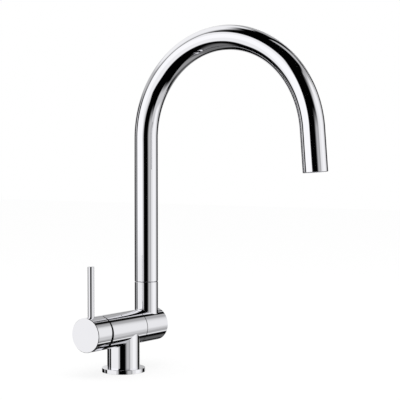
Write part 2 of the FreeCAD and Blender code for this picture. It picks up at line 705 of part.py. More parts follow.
# ---------------------------------------------------------------------------
# Spout
# ---------------------------------------------------------------------------
def swept(label, start, run, outside, inside):
    """A tube along the spout: up, over in one bend and straight down by the given run."""
    body = document.addObject("PartDesign::Body", label)
    turn = math.radians(s.arch_angle.value)
    bend, spring = s.arch_radius.value, s.arch_height.value
    middle = FreeCAD.Vector(-bend, spring, 0)
    over = middle + FreeCAD.Vector(math.cos(turn), math.sin(turn), 0) * bend
    down = FreeCAD.Vector(-math.sin(turn), math.cos(turn), 0)
    path = new_sketch(body, label + "_path", "YZ_Plane")
    path.addGeometry(Part.LineSegment(FreeCAD.Vector(0, start.value, 0), FreeCAD.Vector(0, spring, 0)))
    path.addGeometry(Part.ArcOfCircle(Part.Circle(middle, Z, bend), 0, turn))
    path.addGeometry(Part.LineSegment(over, over + down * run.value))
    path.addConstraint(Sketcher.Constraint("PointOnObject", 0, 1, -2))
    path.addConstraint(Sketcher.Constraint("Vertical", 0))
    path.addConstraint(Sketcher.Constraint("Tangent", 0, 2, 1, 1))
    path.addConstraint(Sketcher.Constraint("Tangent", 1, 2, 2, 1))
    for constraint, formula in (
            (Sketcher.Constraint("DistanceY", -1, 1, 0, 1, start.value), start),
            (Sketcher.Constraint("DistanceY", -1, 1, 0, 2, spring), s.arch_height),
            (Sketcher.Constraint("Radius", 1, bend), s.arch_radius),
            (Sketcher.Constraint("Angle", 1, turn), s.arch_angle * DEGREE),
            (Sketcher.Constraint("Distance", 2, run.value), run)):
        index = path.addConstraint(constraint)
        path.setExpression(f"Constraints[{index}]", formula.text)
    section = new_sketch(body, label + "_section", "XY_Plane")
    bind(section, AttachmentOffset__Base__z=start)
    draw_circle(section, outside)
    draw_circle(section, inside)
    document.recompute()
    pipe = body.newObject("PartDesign::AdditivePipe", label + "_pipe")
    pipe.Profile = section
    pipe.Spine = (path, ["Edge1", "Edge2", "Edge3"])
    path.Visibility = section.Visibility = False
    move(body, x=s.riser_offset)
    document.recompute()
    return body


def outlet_place():
    """The middle of the outlet, with Z looking back up the tube."""
    turn = math.radians(s.arch_angle.value)
    bend = s.arch_radius.value
    down = FreeCAD.Vector(0, -math.sin(turn), math.cos(turn))
    end = FreeCAD.Vector(s.riser_offset.value, bend * (math.cos(turn) - 1),
                         s.arch_height.value + bend * math.sin(turn)) + down * s.outlet_length.value
    return FreeCAD.Placement(end, FreeCAD.Rotation(Z, -down))


def at_outlet(body):
    body.Placement = outlet_place()
    return body


def make_spout_tube():
    tube = swept("spout_tube", tube_foot, s.outlet_length, s.tube_diameter, tube_bore)
    end = outlet_place().Base
    foot = FreeCAD.Vector(s.riser_offset.value, 0, tube_foot.value)
    rims = []
    for i, edge in enumerate(tube.Shape.Edges, start=1):
        curve = edge.Curve
        if isinstance(curve, Part.Circle) and abs(curve.Radius - s.tube_diameter.value / 2) < 1e-6:
            if (curve.Center - end).Length < 1e-3 or (curve.Center - foot).Length < 1e-3:
                rims.append(f"Edge{i}")
    pipe = tube.Tip
    rounding = tube.newObject("PartDesign::Fillet", "spout_tube_rims")
    rounding.Base = (pipe, rims)
    bind(rounding, Radius=s.outlet_round)
    document.recompute()
    return tube


def make_sleeve():
    """The sleeve that is fixed in the spout and turns in the stub, grooved for its rings and its stop."""
    ring_floor = s.stub_bore / 2 - s.o_ring
    glide_floor = journal - s.glide_depth
    half_ring = s.o_ring / 2 + s.running_clearance
    outline = [(sleeve_foot, s.sleeve_bore / 2), (sleeve_foot, glide_floor),
               (bearing_low, glide_floor), (bearing_low, journal)]
    for height in o_ring_heights:
        outline += [(height - half_ring, journal), (height - half_ring, ring_floor),
                    (height + half_ring, ring_floor), (height + half_ring, journal)]
    outline += [(glide_top - s.glide_height, journal), (glide_top - s.glide_height, glide_floor),
                (glide_top, glide_floor), (glide_top, journal)]
    outline += [(tube_foot, journal), (tube_foot, tube_bore / 2), (sleeve_head, tube_bore / 2),
                (sleeve_head, s.sleeve_bore / 2)]
    sleeve = turned("spout_sleeve", outline)
    move(sleeve, x=s.riser_offset)
    track_half = s.stop_diameter / 2 + s.assembly_clearance
    track_low, track_high = stop_height - track_half, stop_height + track_half
    track_floor, track_mouth = journal - s.stop_depth, journal + OVERSHOOT
    track = new_sketch(sleeve, "stop_track_section", "YZ_Plane")
    draw_outline(track, [(track_floor, track_low), (track_mouth, track_low),
                         (track_mouth, track_high), (track_floor, track_high)])
    groove = sleeve.newObject("PartDesign::Groove", "stop_track")
    groove.Profile = track
    groove.ReferenceAxis = (track, ["V_Axis"])
    groove.Midplane = True
    bind(groove, Angle=s.swivel_half_range * 2 + s.stop_track_spare * 2)
    track.Visibility = False
    document.recompute()
    return sleeve


def make_spout_rings():
    rings = []
    for i, height in enumerate(o_ring_heights, start=1):
        ring = document.addObject("Part::Torus", f"o_ring_{i}")
        bind(ring, Radius1=s.stub_bore / 2 - s.o_ring / 2, Radius2=s.o_ring / 2)
        move(ring, x=s.riser_offset, z=height)
        rings.append(ring)
    return group("spout_o_rings", *rings)


def make_glide_rings():
    rings = []
    for name, low in (("low", sleeve_foot), ("high", glide_top - s.glide_height)):
        ring = turned(f"glide_ring_{name}", ring_outline(low, low + s.glide_height,
                                                         (journal - s.glide_depth) * 2, journal * 2))
        move(ring, x=s.riser_offset)
        rings.append(ring)
    return group("glide_rings", *rings)


def make_swivel_washer():
    """The thin plastic ring that shows as the dark line of the swivel seam."""
    inset = s.outlet_round + s.seam_bevel
    inner = s.stub_bore + s.assembly_clearance
    washer = turned("swivel_washer", ring_outline(stub_top + s.running_clearance / 2, tube_foot,
                                                  inner, s.tube_diameter - inset * 2))
    move(washer, x=s.riser_offset)
    return washer


def make_stop_screw():
    tip = journal - s.stop_depth + s.assembly_clearance
    return cylinder("spout_stop_screw", s.stop_diameter, tip, s.tube_diameter / 2 - s.seam_bevel,
                    x=s.riser_offset, z=stop_height, along=Y)


def make_filter_tube():
    run = s.outlet_length - s.nozzle_setback - s.nozzle_length
    return swept("filter_tube", sleeve_foot, run, s.filter_tube_diameter, filter_tube_bore)


def make_tube_spacer():
    """The star that centres the inner tube and lets the mixed water past it."""
    low = sleeve_head - s.spacer_thickness
    star = turned("spacer_ring", ring_outline(low, sleeve_head, s.filter_tube_diameter, s.sleeve_bore))
    ways = [cylinder(f"spacer_way_{i}", s.spacer_way, low, sleeve_head, x=x, y=y)
            for i, (x, y) in enumerate(around(6, (s.filter_tube_diameter + s.sleeve_bore) / 2), start=1)]
    spacer = cut("tube_spacer", star, *ways)
    move(spacer, x=s.riser_offset)
    return spacer


def make_filter_nipple():
    """The fixed pipe from the filter valve; the inner tube turns on its upper end."""
    outside = filter_tube_bore / 2
    low = axis + s.valve_diameter / 2
    top = sleeve_foot + s.nipple_engagement
    nipple = turned("filter_nipple", [
        (low, nipple_bore / 2), (low, outside), (stub_floor, outside),
        (stub_floor, outside - s.running_clearance), (top, outside - s.running_clearance),
        (top, nipple_bore / 2)])
    move(nipple, x=s.riser_offset)
    return nipple


# ---------------------------------------------------------------------------
# Outlet
# ---------------------------------------------------------------------------
adapter_bore = tube_bore - s.adapter_wall * 2
aerator_bore = adapter_bore - s.aerator_wall * 2


def make_adapter():
    start = s.adapter_setback
    return at_outlet(turned("outlet_adapter", ring_outline(start, start + s.adapter_length,
                                                           adapter_bore, tube_bore)))


def make_aerator_cup():
    start = s.aerator_setback
    end = start + s.aerator_length
    lip = end - s.aerator_lip
    mouth = aerator_bore / 2 - s.aerator_wall
    return at_outlet(turned("aerator_cup", [
        (start, aerator_bore / 2), (start, adapter_bore / 2), (end, adapter_bore / 2),
        (end, mouth), (lip, mouth), (lip, aerator_bore / 2)]))


def make_jet_plate():
    start = s.screen_setback
    end = start + s.screen_thickness
    hub = s.filter_tube_diameter
    ring_of_jets = (aerator_bore + hub) / 2
    plate = turned("jet_disc", ring_outline(start, end, hub, aerator_bore))
    holes = [cylinder(f"jet_{i}", s.jet_diameter, start, end, x=x, y=y)
             for i, (x, y) in enumerate(around(int(s.jet_count.value), ring_of_jets), start=1)]
    return at_outlet(cut("jet_plate", plate, *holes))


def make_gauze():
    start = s.gauze_setback
    return at_outlet(turned("aerator_gauze", ring_outline(start, start + s.gauze_thickness,
                                                          s.filter_tube_diameter, aerator_bore)))


def make_nozzle():
    """The inner outlet, which keeps the filtered water apart to the last."""
    start = s.nozzle_setback
    end = start + s.nozzle_length
    return at_outlet(turned("filter_nozzle", [
        (start, nipple_bore / 2), (start, s.filter_tube_diameter / 2), (end, s.filter_tube_diameter / 2),
        (end, filter_tube_bore / 2), (end + s.nozzle_spigot, filter_tube_bore / 2),
        (end + s.nozzle_spigot, nipple_bore / 2)]))


# ---------------------------------------------------------------------------
# Filter valve and knob
# ---------------------------------------------------------------------------
turning_disc_end = fixed_disc_end + s.valve_disc_thickness
flange_end = turning_disc_end + s.spindle_flange
knob_face = s.foot_end + s.knob_proud
knob_back = s.foot_end - s.knob_skirt
spindle_end = knob_back + s.knob_socket


def make_valve_housing():
    """The brass headwork that screws into the barrel's end, with its hexagon."""
    core = s.valve_disc + s.assembly_clearance * 2
    shaft = s.spindle_diameter + s.running_clearance * 2
    tube = turned("valve_tube", [
        (valve_seat, core / 2), (valve_seat, s.valve_diameter / 2), (knob_floor, s.valve_diameter / 2),
        (knob_floor, shaft / 2), (flange_end + s.assembly_clearance, shaft / 2),
        (flange_end + s.assembly_clearance, core / 2)], lying=True)
    nut = document.addObject("Part::Prism", "valve_hexagon_bar")
    nut.Polygon = 6
    half_angle = math.cos(math.radians(30))
    bind(nut, Circumradius=s.valve_hexagon / 2 / half_angle, Height=s.valve_hexagon_thickness)
    move(nut, x=knob_floor, z=axis, rotation=FreeCAD.Rotation(Z, X))
    hole = cylinder("valve_hexagon_hole", shaft, knob_floor, knob_floor + s.valve_hexagon_thickness,
                    z=axis, along=X)
    side_port = cylinder("valve_side_port", nipple_bore, axis, axis + s.valve_diameter / 2 + OVERSHOOT,
                         x=s.riser_offset)
    ported = cut("valve_ported_tube", tube, side_port)
    return fuse("filter_valve_housing", ported, cut("valve_hexagon_nut", nut, hole))


def make_valve_seal():
    return turned("filter_valve_seal", ring_outline(valve_seat, fixed_disc_start,
                                                    s.valve_disc - s.valve_disc_thickness * 2,
                                                    s.valve_disc), lying=True)


def make_filter_fixed_disc():
    plate = turned("fixed_plate", rod_outline(fixed_disc_start, fixed_disc_end, s.valve_disc), lying=True)
    hole = cylinder("fixed_port", s.valve_disc_port, fixed_disc_start, fixed_disc_end,
                    z=axis + s.valve_port_offset, along=X)
    return cut("filter_fixed_disc", plate, hole)


def make_filter_turning_disc():
    """The disc with a slot out to its rim.  At rest the slot lies a quarter turn from the port: shut."""
    plate = turned("turning_plate", rod_outline(fixed_disc_end, turning_disc_end, s.valve_disc), lying=True)
    half = s.valve_disc_port / 2
    slot = block("turning_slot", (fixed_disc_end, s.valve_port_offset - half, axis - half),
                 (turning_disc_end, s.valve_disc / 2 + OVERSHOOT, axis + half))
    return cut("filter_turning_disc", plate, slot)


def make_spindle():
    return turned("filter_spindle", [
        (turning_disc_end, 0), (turning_disc_end, s.valve_disc / 2), (flange_end, s.valve_disc / 2),
        (flange_end, s.spindle_diameter / 2), (spindle_end, s.spindle_diameter / 2), (spindle_end, 0)],
        lying=True)


def make_knob():
    edge = s.handle_chamfer
    radius = s.knob_diameter / 2
    knob = turned("knob_blank", [
        (knob_back, 0), (knob_back, radius), (knob_face - edge, radius), (knob_face, radius - edge),
        (knob_face, 0)], lying=True)
    socket = cylinder("spindle_socket", s.spindle_diameter, knob_back, spindle_end, z=axis, along=X)
    screw = cylinder("knob_screw_hole", s.stop_diameter, -radius, -s.spindle_diameter / 2,
                     x=s.foot_end, z=axis)
    flutes = [cylinder(f"flute_{i}", s.knob_notch, s.foot_end, knob_face, y=y, z=axis + z, along=X)
              for i, (y, z) in enumerate(around(int(s.knob_notch_count.value), s.knob_diameter), start=1)]
    return cut("filter_knob", knob, socket, screw, *flutes)


def make_knob_screw():
    radius = s.knob_diameter / 2
    return cylinder("knob_grub_screw", s.stop_diameter, -radius + s.handle_chamfer, -s.spindle_diameter / 2,
                    x=s.foot_end, z=axis)


# ---------------------------------------------------------------------------
# The whole tap
# ---------------------------------------------------------------------------
MAKERS = [
    make_flange, make_gasket, make_inlet_block,
    make_main_body, make_spout_foot, make_coupling, make_section_seal, make_filter_feed,
    make_cartridge_housing, make_cartridge_base, make_port_seals, make_fixed_disc, make_sliding_disc,
    make_carrier, make_pivot_pin, make_cartridge_nut, make_dome,
    make_stem, make_handle_cap, make_lever, make_grub_screw, make_screw_plug,
    make_spout_tube, make_sleeve, make_spout_rings, make_glide_rings, make_swivel_washer,
    make_stop_screw, make_filter_tube, make_tube_spacer, make_filter_nipple,
    make_adapter, make_aerator_cup, make_jet_plate, make_gauze, make_nozzle,
    make_valve_housing, make_valve_seal, make_filter_fixed_disc, make_filter_turning_disc,
    make_spindle, make_knob, make_knob_screw,
]
pieces = [make() for make in MAKERS]

document.recompute()
for thing in document.Objects:
    if "Invalid" in thing.State or "Error" in thing.State:
        raise RuntimeError(f"{thing.Label} did not build: {thing.State}")
for thing in pieces:
    if thing.Shape.isNull() or not thing.Shape.isValid() or not thing.Shape.Solids:
        raise RuntimeError(f"{thing.Label} has no valid solid")

os.makedirs("parts", exist_ok=True)
for thing in pieces:
    thing.Shape.exportStep(os.path.join("parts", thing.Label + ".step"))
    box = thing.Shape.BoundBox
    print(f"{thing.Label:22s} solids {len(thing.Shape.Solids)}  volume {thing.Shape.Volume:9.1f}",
          f"x {box.XMin:6.1f} {box.XMax:6.1f}  y {box.YMin:6.1f} {box.YMax:6.1f}",
          f"z {box.ZMin:6.1f} {box.ZMax:6.1f}")
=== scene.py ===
"""A polished kitchen tap for hot, cold and filtered water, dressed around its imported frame.

Meshes are shaped in millimetres and end in metres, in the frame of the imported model: the
origin is the middle of the flange's underside, +Z is up, the barrel lies along X with the
lever at its -X end, and the spout reaches out towards -Y.
"""
from __future__ import annotations

import json
import logging
import math
from collections.abc import Callable, Iterable
from dataclasses import dataclass, field
from enum import Enum

import bmesh
import bpy
from bmesh.types import BMEdge, BMesh, BMVert
from mathutils import Matrix, Vector

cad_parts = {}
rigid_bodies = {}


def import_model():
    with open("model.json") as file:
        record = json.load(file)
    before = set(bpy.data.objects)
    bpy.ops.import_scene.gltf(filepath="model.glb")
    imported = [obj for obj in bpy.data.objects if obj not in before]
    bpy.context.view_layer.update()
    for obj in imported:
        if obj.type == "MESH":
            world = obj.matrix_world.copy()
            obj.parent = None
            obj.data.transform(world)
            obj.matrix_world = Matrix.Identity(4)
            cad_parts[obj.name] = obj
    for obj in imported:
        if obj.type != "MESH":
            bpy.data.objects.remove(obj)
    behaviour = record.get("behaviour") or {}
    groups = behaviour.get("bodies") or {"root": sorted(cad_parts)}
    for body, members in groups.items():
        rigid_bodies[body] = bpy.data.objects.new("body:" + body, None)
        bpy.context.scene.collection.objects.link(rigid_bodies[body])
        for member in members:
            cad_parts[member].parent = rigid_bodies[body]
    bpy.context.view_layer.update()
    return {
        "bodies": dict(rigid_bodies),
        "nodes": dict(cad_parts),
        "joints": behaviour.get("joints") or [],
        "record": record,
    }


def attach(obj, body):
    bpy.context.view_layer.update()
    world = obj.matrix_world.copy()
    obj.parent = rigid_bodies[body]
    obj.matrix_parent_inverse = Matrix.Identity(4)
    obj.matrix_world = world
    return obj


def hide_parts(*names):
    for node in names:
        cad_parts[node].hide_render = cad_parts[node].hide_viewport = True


MM = 0.001
SAME_PLACE = 1e-4  # Millimetres within which two points are one.
ON_WALL = 0.1  # Millimetres that a face's middle lies under a curved wall at most.
ROUNDING_STEPS = 4  # Facets across a rounded edge.
GENTLE_TURN = 30.0  # Degrees up to which neighbouring faces share a normal.
KNOWN_LENGTH = 0.5  # An exact normal shorter than this is none.
BELIEVED = 0.93  # Cosine between a face and an exact normal from which the normal is used.
CLOUD_SIZE = 0.03  # Metres across the soft clouds in a finish.
CLOUD_DETAIL = 3.0
log = logging.getLogger("tap")

Place = Callable[[BMVert], None]


# ---------------------------------------------------------------------------
# Shader expressions
# ---------------------------------------------------------------------------
class Field:
    """A number that varies over a surface; arithmetic on it adds Math nodes."""

    def __init__(self, kit: NodeKit, socket: bpy.types.NodeSocket) -> None:
        self.kit = kit
        self.socket = socket

    def _math(self, operation: str, *numbers: object) -> Field:
        """Adds one Math node.

        Args:
            operation: What it works out.
            numbers: Its inputs, in order.

        Returns:
            The result.
        """
        inputs = dict(enumerate(numbers))
        made = self.kit.node("ShaderNodeMath", {"operation": operation}, inputs)
        return Field(self.kit, made.outputs[0])

    def __add__(self, other: object) -> Field:
        """self + other."""
        return self._math("ADD", self, other)

    __radd__ = __add__

    def __sub__(self, other: object) -> Field:
        """self - other."""
        return self._math("SUBTRACT", self, other)

    def __rsub__(self, other: object) -> Field:
        """other - self."""
        return self._math("SUBTRACT", other, self)

    def __mul__(self, other: object) -> Field:
        """self * other."""
        return self._math("MULTIPLY", self, other)

    __rmul__ = __mul__

    def __pow__(self, other: object) -> Field:
        """self to the power of other."""
        return self._math("POWER", self, other)

    def brighter(self, other: object) -> Field:
        """The greater of self and other."""
        return self._math("MAXIMUM", self, other)

    def wave(self) -> Field:
        """The sine of self."""
        return self._math("SINE", self)

    def arcsine(self) -> Field:
        """The angle whose sine is self, in radians."""
        return self._math("ARCSINE", self)

    def heading(self, ahead: Field) -> Field:
        """The angle from ahead towards self, in radians."""
        return self._math("ARCTAN2", self, ahead)

    def rise(self, low: float, high: float) -> Field:
        """A smooth step over self.

        Args:
            low: Where it is still 0.
            high: Where it has reached 1.

        Returns:
            The step.
        """
        settings = {"interpolation_type": "SMOOTHSTEP"}
        inputs = {"Value": self, "From Min": low, "From Max": high}
        return Field(self.kit, self.kit.node("ShaderNodeMapRange", settings, inputs).outputs[0])

    def between(self, low: float, high: float, soft: float) -> Field:
        """1 from low to high and 0 outside, with edges that are soft wide."""
        half = soft / 2
        return self.rise(low - half, low + half) * (1 - self.rise(high - half, high + half))


class NodeKit:
    """Adds nodes to one tree."""

    def __init__(self, tree: bpy.types.NodeTree) -> None:
        """Empties the tree and keeps it."""
        self.tree = tree
        tree.nodes.clear()

    def node(self, kind: str, settings: dict | None = None,
             inputs: dict | None = None) -> bpy.types.Node:
        """Adds one node.

        Args:
            kind: The node's type.
            settings: Its properties, set before anything else.
            inputs: Values, fields or sockets, by the input's name or number.

        Returns:
            The new node.
        """
        made = self.tree.nodes.new(kind)
        for name, value in (settings or {}).items():
            setattr(made, name, value)
        for name, value in (inputs or {}).items():
            if isinstance(value, Field):
                value = value.socket
            if isinstance(value, bpy.types.NodeSocket):
                self.tree.links.new(value, made.inputs[name])
            else:
                made.inputs[name].default_value = value
        return made

    def place(self, centre: Iterable[float]) -> bpy.types.NodeSocket:
        """Object coordinates in metres, measured from a centre."""
        coordinates = self.node("ShaderNodeTexCoord")
        return self.node("ShaderNodeMapping", {"vector_type": "POINT"}, {
            "Vector": coordinates.outputs["Object"], "Location": [-c for c in centre]}).outputs[0]

    def noise(self, vector: bpy.types.NodeSocket, grain: float, detail: float = 2.0) -> Field:
        """Smooth random variation from 0 to 1.

        Args:
            vector: Where it is read.
            grain: Size of its spots, in metres.
            detail: How many finer layers it has.

        Returns:
            The variation.
        """
        made = self.node("ShaderNodeTexNoise", {"noise_dimensions": "3D"}, {
            "Vector": vector, "Scale": 1 / grain, "Detail": detail})
        return Field(self, made.outputs[0])

    def blend(self, factor: Field, first: tuple, second: tuple) -> bpy.types.NodeSocket:
        """A colour between two others."""
        made = self.node("ShaderNodeMix", {"data_type": "RGBA"}, {
            "Factor": factor, 6: (*first, 1), 7: (*second, 1)})
        return made.outputs[2]

    def bump(self, height: Field, depth: float) -> bpy.types.NodeSocket:
        """The normal of a surface whose height runs from 0 to 1 times depth, in metres."""
        return self.node("ShaderNodeBump", None, {
            "Strength": 1.0, "Distance": depth, "Height": height}).outputs[0]


# ---------------------------------------------------------------------------
# Finishes
# ---------------------------------------------------------------------------
class Grain(Enum):
    """How a surface's fine relief runs."""

    POLISHED = "polished"
    TURNED = "turned"
    MOULDED = "moulded"
    WOVEN = "woven"


@dataclass(frozen=True)
class Finish:
    """A surface finish and the relief that goes with it."""

    name: str
    colour: tuple[float, float, float]
    shade: tuple[float, float, float]
    metallic: float
    roughness: float
    unevenness: float
    grain: Grain = Grain.POLISHED
    grain_size: float = 0.02
    depth: float = 0.0
    centre: tuple[float, float, float] = (0.0, 0.0, 0.0)
    specular: float = 0.5

    def relief(self, kit: NodeKit, where: bpy.types.NodeSocket) -> Field:
        """The fine relief of the surface.

        Args:
            kit: The material's tree.
            where: The place on the piece, in metres.

        Returns:
            The relief's height, from 0 to 1.
        """
        if self.grain is Grain.TURNED:
            split = kit.node("ShaderNodeSeparateXYZ", None, {0: where})
            x, y, z = (Field(kit, split.outputs[i]) for i in range(3))
            radius = (y * y + z * z) ** 0.5
            return (radius * (math.tau / self.grain_size)).wave() * 0.5 + 0.5
        if self.grain is Grain.WOVEN:
            split = kit.node("ShaderNodeSeparateXYZ", None, {0: where})
            x, y = (Field(kit, split.outputs[i]) for i in range(2))
            turns = math.tau / self.grain_size
            return ((x * turns).wave() * (y * turns).wave()) * 0.5 + 0.5
        return kit.noise(where, self.grain_size)

    def material(self) -> bpy.types.Material:
        """Makes the finish's material.

        Returns:
            The new material.
        """
        made = bpy.data.materials.new(self.name)
        made.use_nodes = True
        kit = NodeKit(made.node_tree)
        where = kit.place(self.centre)
        cloud = kit.noise(where, CLOUD_SIZE, CLOUD_DETAIL)
        rough = self.roughness + (cloud - 0.5) * self.unevenness
        shader = kit.node("ShaderNodeBsdfPrincipled", None, {
            "Base Color": kit.blend(cloud, self.colour, self.shade),
            "Metallic": self.metallic,
            "Roughness": rough,
            "Specular IOR Level": self.specular,
        })
        if self.depth:
            bump = kit.bump(self.relief(kit, where), self.depth)
            kit.tree.links.new(bump, shader.inputs["Normal"])
        kit.node("ShaderNodeOutputMaterial", None, {"Surface": shader.outputs[0]})
        return made


CHROME = Finish("bright_chrome", (0.946, 0.945, 0.975), (0.932, 0.931, 0.965), 1.0, 0.018, 0.008,
                Grain.POLISHED, 0.06, 0.000003)
# Duller plate inside the bores and on the faces hidden in the seam, darkened far below any metal's
# own colour: partly the duller plating there, partly painted shade for the hollows and the gap
# between cap and casting.
DULL_BORE_PAINTED_SHADE = Finish("dull_bore_plate_painted_shade", (0.16, 0.16, 0.165), (0.12, 0.12, 0.125), 1.0, 0.32, 0.08,
              Grain.POLISHED, 0.002, 0.000004)
BRASS = Finish("turned_brass", (0.72, 0.55, 0.28), (0.66, 0.49, 0.24), 1.0, 0.28, 0.08,
               Grain.TURNED, 0.0008, 0.000005, (0, 0, 0.0495))
STEEL = Finish("drawn_steel", (0.58, 0.58, 0.59), (0.52, 0.52, 0.53), 1.0, 0.24, 0.08,
               Grain.POLISHED, 0.0008, 0.000004)
GAUZE = Finish("steel_gauze", (0.55, 0.55, 0.56), (0.4, 0.4, 0.41), 1.0, 0.35, 0.1,
               Grain.WOVEN, 0.0009, 0.0002)
RUBBER = Finish("black_rubber", (0.03, 0.03, 0.03), (0.045, 0.045, 0.045), 0.0, 0.62, 0.12,
                Grain.MOULDED, 0.0007, 0.00002)
DARK_PLASTIC = Finish("dark_plastic", (0.07, 0.07, 0.075), (0.09, 0.09, 0.095), 0.0, 0.42, 0.1,
                      Grain.MOULDED, 0.0006, 0.00001)
GREY_PLASTIC = Finish("grey_silicone", (0.60, 0.61, 0.63), (0.54, 0.55, 0.57), 0.0, 0.45, 0.1,
                      Grain.MOULDED, 0.0006, 0.00001)
WHITE_PLASTIC = Finish("white_acetal", (0.85, 0.85, 0.82), (0.8, 0.8, 0.77), 0.0, 0.35, 0.1,
                       Grain.MOULDED, 0.0008, 0.00001)
CERAMIC = Finish("lapped_ceramic", (0.9, 0.9, 0.86), (0.86, 0.86, 0.82), 0.0, 0.14, 0.04,
                 Grain.POLISHED, 0.001, 0.000001)

SLOT_FINISHES = {
    "chrome": CHROME, "brass": BRASS, "steel": STEEL, "rubber": RUBBER, "ceramic": CERAMIC,
    "white_plastic": WHITE_PLASTIC, "dark_plastic": DARK_PLASTIC, "grey_plastic": GREY_PLASTIC,
}


class Workshop:
    """Keeps one material per finish."""

    def __init__(self) -> None:
        """Starts with no material made."""
        self.made: dict[str, bpy.types.Material] = {}

    def material(self, finish: Finish) -> bpy.types.Material:
        """The finish's material, made once."""
        if finish.name not in self.made:
            self.made[finish.name] = finish.material()
        return self.made[finish.name]


# ---------------------------------------------------------------------------
# Meshes
# ---------------------------------------------------------------------------
class Blank:
    """A mesh in the making, in millimetres."""

    def __init__(self) -> None:
        """Starts empty, with a layer for the exact normals of curved walls."""
        self.bm: BMesh = bmesh.new()
        self.exact = self.bm.verts.layers.float_vector.new("exact")

    def circle(self, radius: float, steps: int, turn: Matrix = Matrix()) -> list[BMEdge]:
        """A ring of edges, turned and moved from the XY plane."""
        made = bmesh.ops.create_circle(self.bm, segments=steps, radius=radius, matrix=turn)
        return list({edge for vert in made["verts"] for edge in vert.link_edges})

    def draw_out(self, ring: list[BMEdge], place: Place) -> list[BMEdge]:
        """Extrudes a ring of edges by one step.

        Args:
            ring: The open edges.
            place: Puts each new vertex, which starts on the one that it comes from.

        Returns:
            The new open edges.
        """
        made = bmesh.ops.extrude_edge_only(self.bm, edges=ring)["geom"]
        fresh = {item for item in made if isinstance(item, BMVert)}
        for vert in fresh:
            place(vert)
        return [item for item in made if isinstance(item, BMEdge) and set(item.verts) <= fresh]

    def cap(self, ring: list[BMEdge]) -> None:
        """Closes a flat ring."""
        bmesh.ops.edgeloop_fill(self.bm, edges=ring)

    def weld(self, ring: list[BMEdge], onto: list[BMEdge]) -> None:
        """Joins the vertices of one ring to the nearest ones of another.

        Args:
            ring: The edges whose vertices move.
            onto: The edges whose vertices stay.
        """
        targets = list({vert for edge in onto for vert in edge.verts})
        pairs = {}
        for vert in {vert for edge in ring for vert in edge.verts}:
            pairs[vert] = min(targets, key=lambda other: (other.co - vert.co).length_squared)
        bmesh.ops.weld_verts(self.bm, targetmap=pairs)

    def round_off(self, edges: list[BMEdge], radius: float) -> None:
        """Rounds the given edges."""
        bmesh.ops.bevel(self.bm, geom=edges, offset=radius, offset_type="OFFSET",
                        segments=ROUNDING_STEPS, profile=0.5, affect="EDGES", material=-1)

    def lathe(self, outline: list[tuple], steps: int = 128, turn: Matrix = Matrix()) -> None:
        """Turns a closed or pole-to-pole outline about the local Z axis.

        Args:
            outline: Corners as (radius, height) or (radius, height, rounding).
            steps: Facets round the axis.
            turn: Where the local axis lies.
        """
        bm = self.bm
        earlier = set(bm.verts)
        verts = [bm.verts.new((corner[0], 0, corner[1])) for corner in outline]
        last = len(verts) - (outline[0][0] == 0 and outline[-1][0] == 0)
        for i in range(last):
            bm.edges.new((verts[i], verts[(i + 1) % len(verts)]))
        for corner, vert in zip(outline, verts):
            if len(corner) > 2:
                bmesh.ops.bevel(bm, geom=[vert], offset=corner[2], offset_type="OFFSET",
                                segments=ROUNDING_STEPS, profile=0.5, affect="VERTICES",
                                material=-1)
        wire = [vert for vert in bm.verts if vert not in earlier]
        wire += [edge for edge in bm.edges if not edge.link_faces and edge.verts[0] not in earlier]
        bmesh.ops.spin(bm, geom=wire, cent=(0, 0, 0), axis=(0, 0, 1), dvec=(0, 0, 0),
                       angle=math.tau, steps=steps, use_merge=True)
        fresh = [vert for vert in bm.verts if vert not in earlier]
        bmesh.ops.remove_doubles(bm, verts=fresh, dist=SAME_PLACE)
        kept = [vert for vert in bm.verts if vert not in earlier]
        bmesh.ops.transform(bm, matrix=turn, verts=kept)

    def finish(self, name: str, sharp: float = 40.0) -> bpy.types.Object:
        """Makes the object, in metres, with its faces outward and its shading smooth.

        Args:
            name: The piece's name.
            sharp: Edges that turn by more degrees than this stay crisp.

        Returns:
            The new object, at the origin.
        """
        bm = self.bm
        bmesh.ops.recalc_face_normals(bm, faces=bm.faces)
        bmesh.ops.scale(bm, vec=(MM, MM, MM), verts=bm.verts)
        bm.normal_update()
        for face in bm.faces:
            face.smooth = True
        for edge in bm.edges:
            if len(edge.link_faces) == 2 and edge.calc_face_angle(0.0) > math.radians(sharp):
                edge.smooth = False
        normals = self._corner_normals()
        mesh = bpy.data.meshes.new(name)
        bm.to_mesh(mesh)
        bm.free()
        mesh.normals_split_custom_set(normals)
        mesh.attributes.remove(mesh.attributes["exact"])
        made = bpy.data.objects.new(name, mesh)
        bpy.context.scene.collection.objects.link(made)
        return made

    def _corner_normals(self) -> list[Vector]:
        """Works out the shading.

        Returns:
            Each face corner's normal: exact where one is known, else shared with neighbours.
        """
        gentle = math.cos(math.radians(GENTLE_TURN))
        found = []
        areas = {face: face.calc_area() for face in self.bm.faces}
        for face in self.bm.faces:
            for loop in face.loops:
                known = loop.vert[self.exact]
                if known.length > KNOWN_LENGTH and known.dot(face.normal) > BELIEVED:
                    found.append(known.normalized())
                    continue
                total = Vector()
                for other in loop.vert.link_faces:
                    if other.normal.dot(face.normal) > gentle:
                        total += other.normal * areas[other]
                found.append(total.normalized() if total.length else face.normal.copy())
        return found


@dataclass
class Branch:
    """A round leg, stub or socket on the side of the barrel.

    Its rings go on from the barrel's wall as (radius, height above the barrel's axis),
    both measured along the branch, and the last one is closed. The root is the rounding
    where it meets the wall, or below 0 the depth of a socket's broken edge.
    """

    at: float
    radius: float
    up: bool
    root: float
    window: tuple[float, float]
    half_angle: float
    rings: list[tuple[float, float]]
    bends: int = 3

    @property
    def side(self) -> int:
        """+1 for a branch on top of the barrel, -1 for one under it."""
        return 1 if self.up else -1


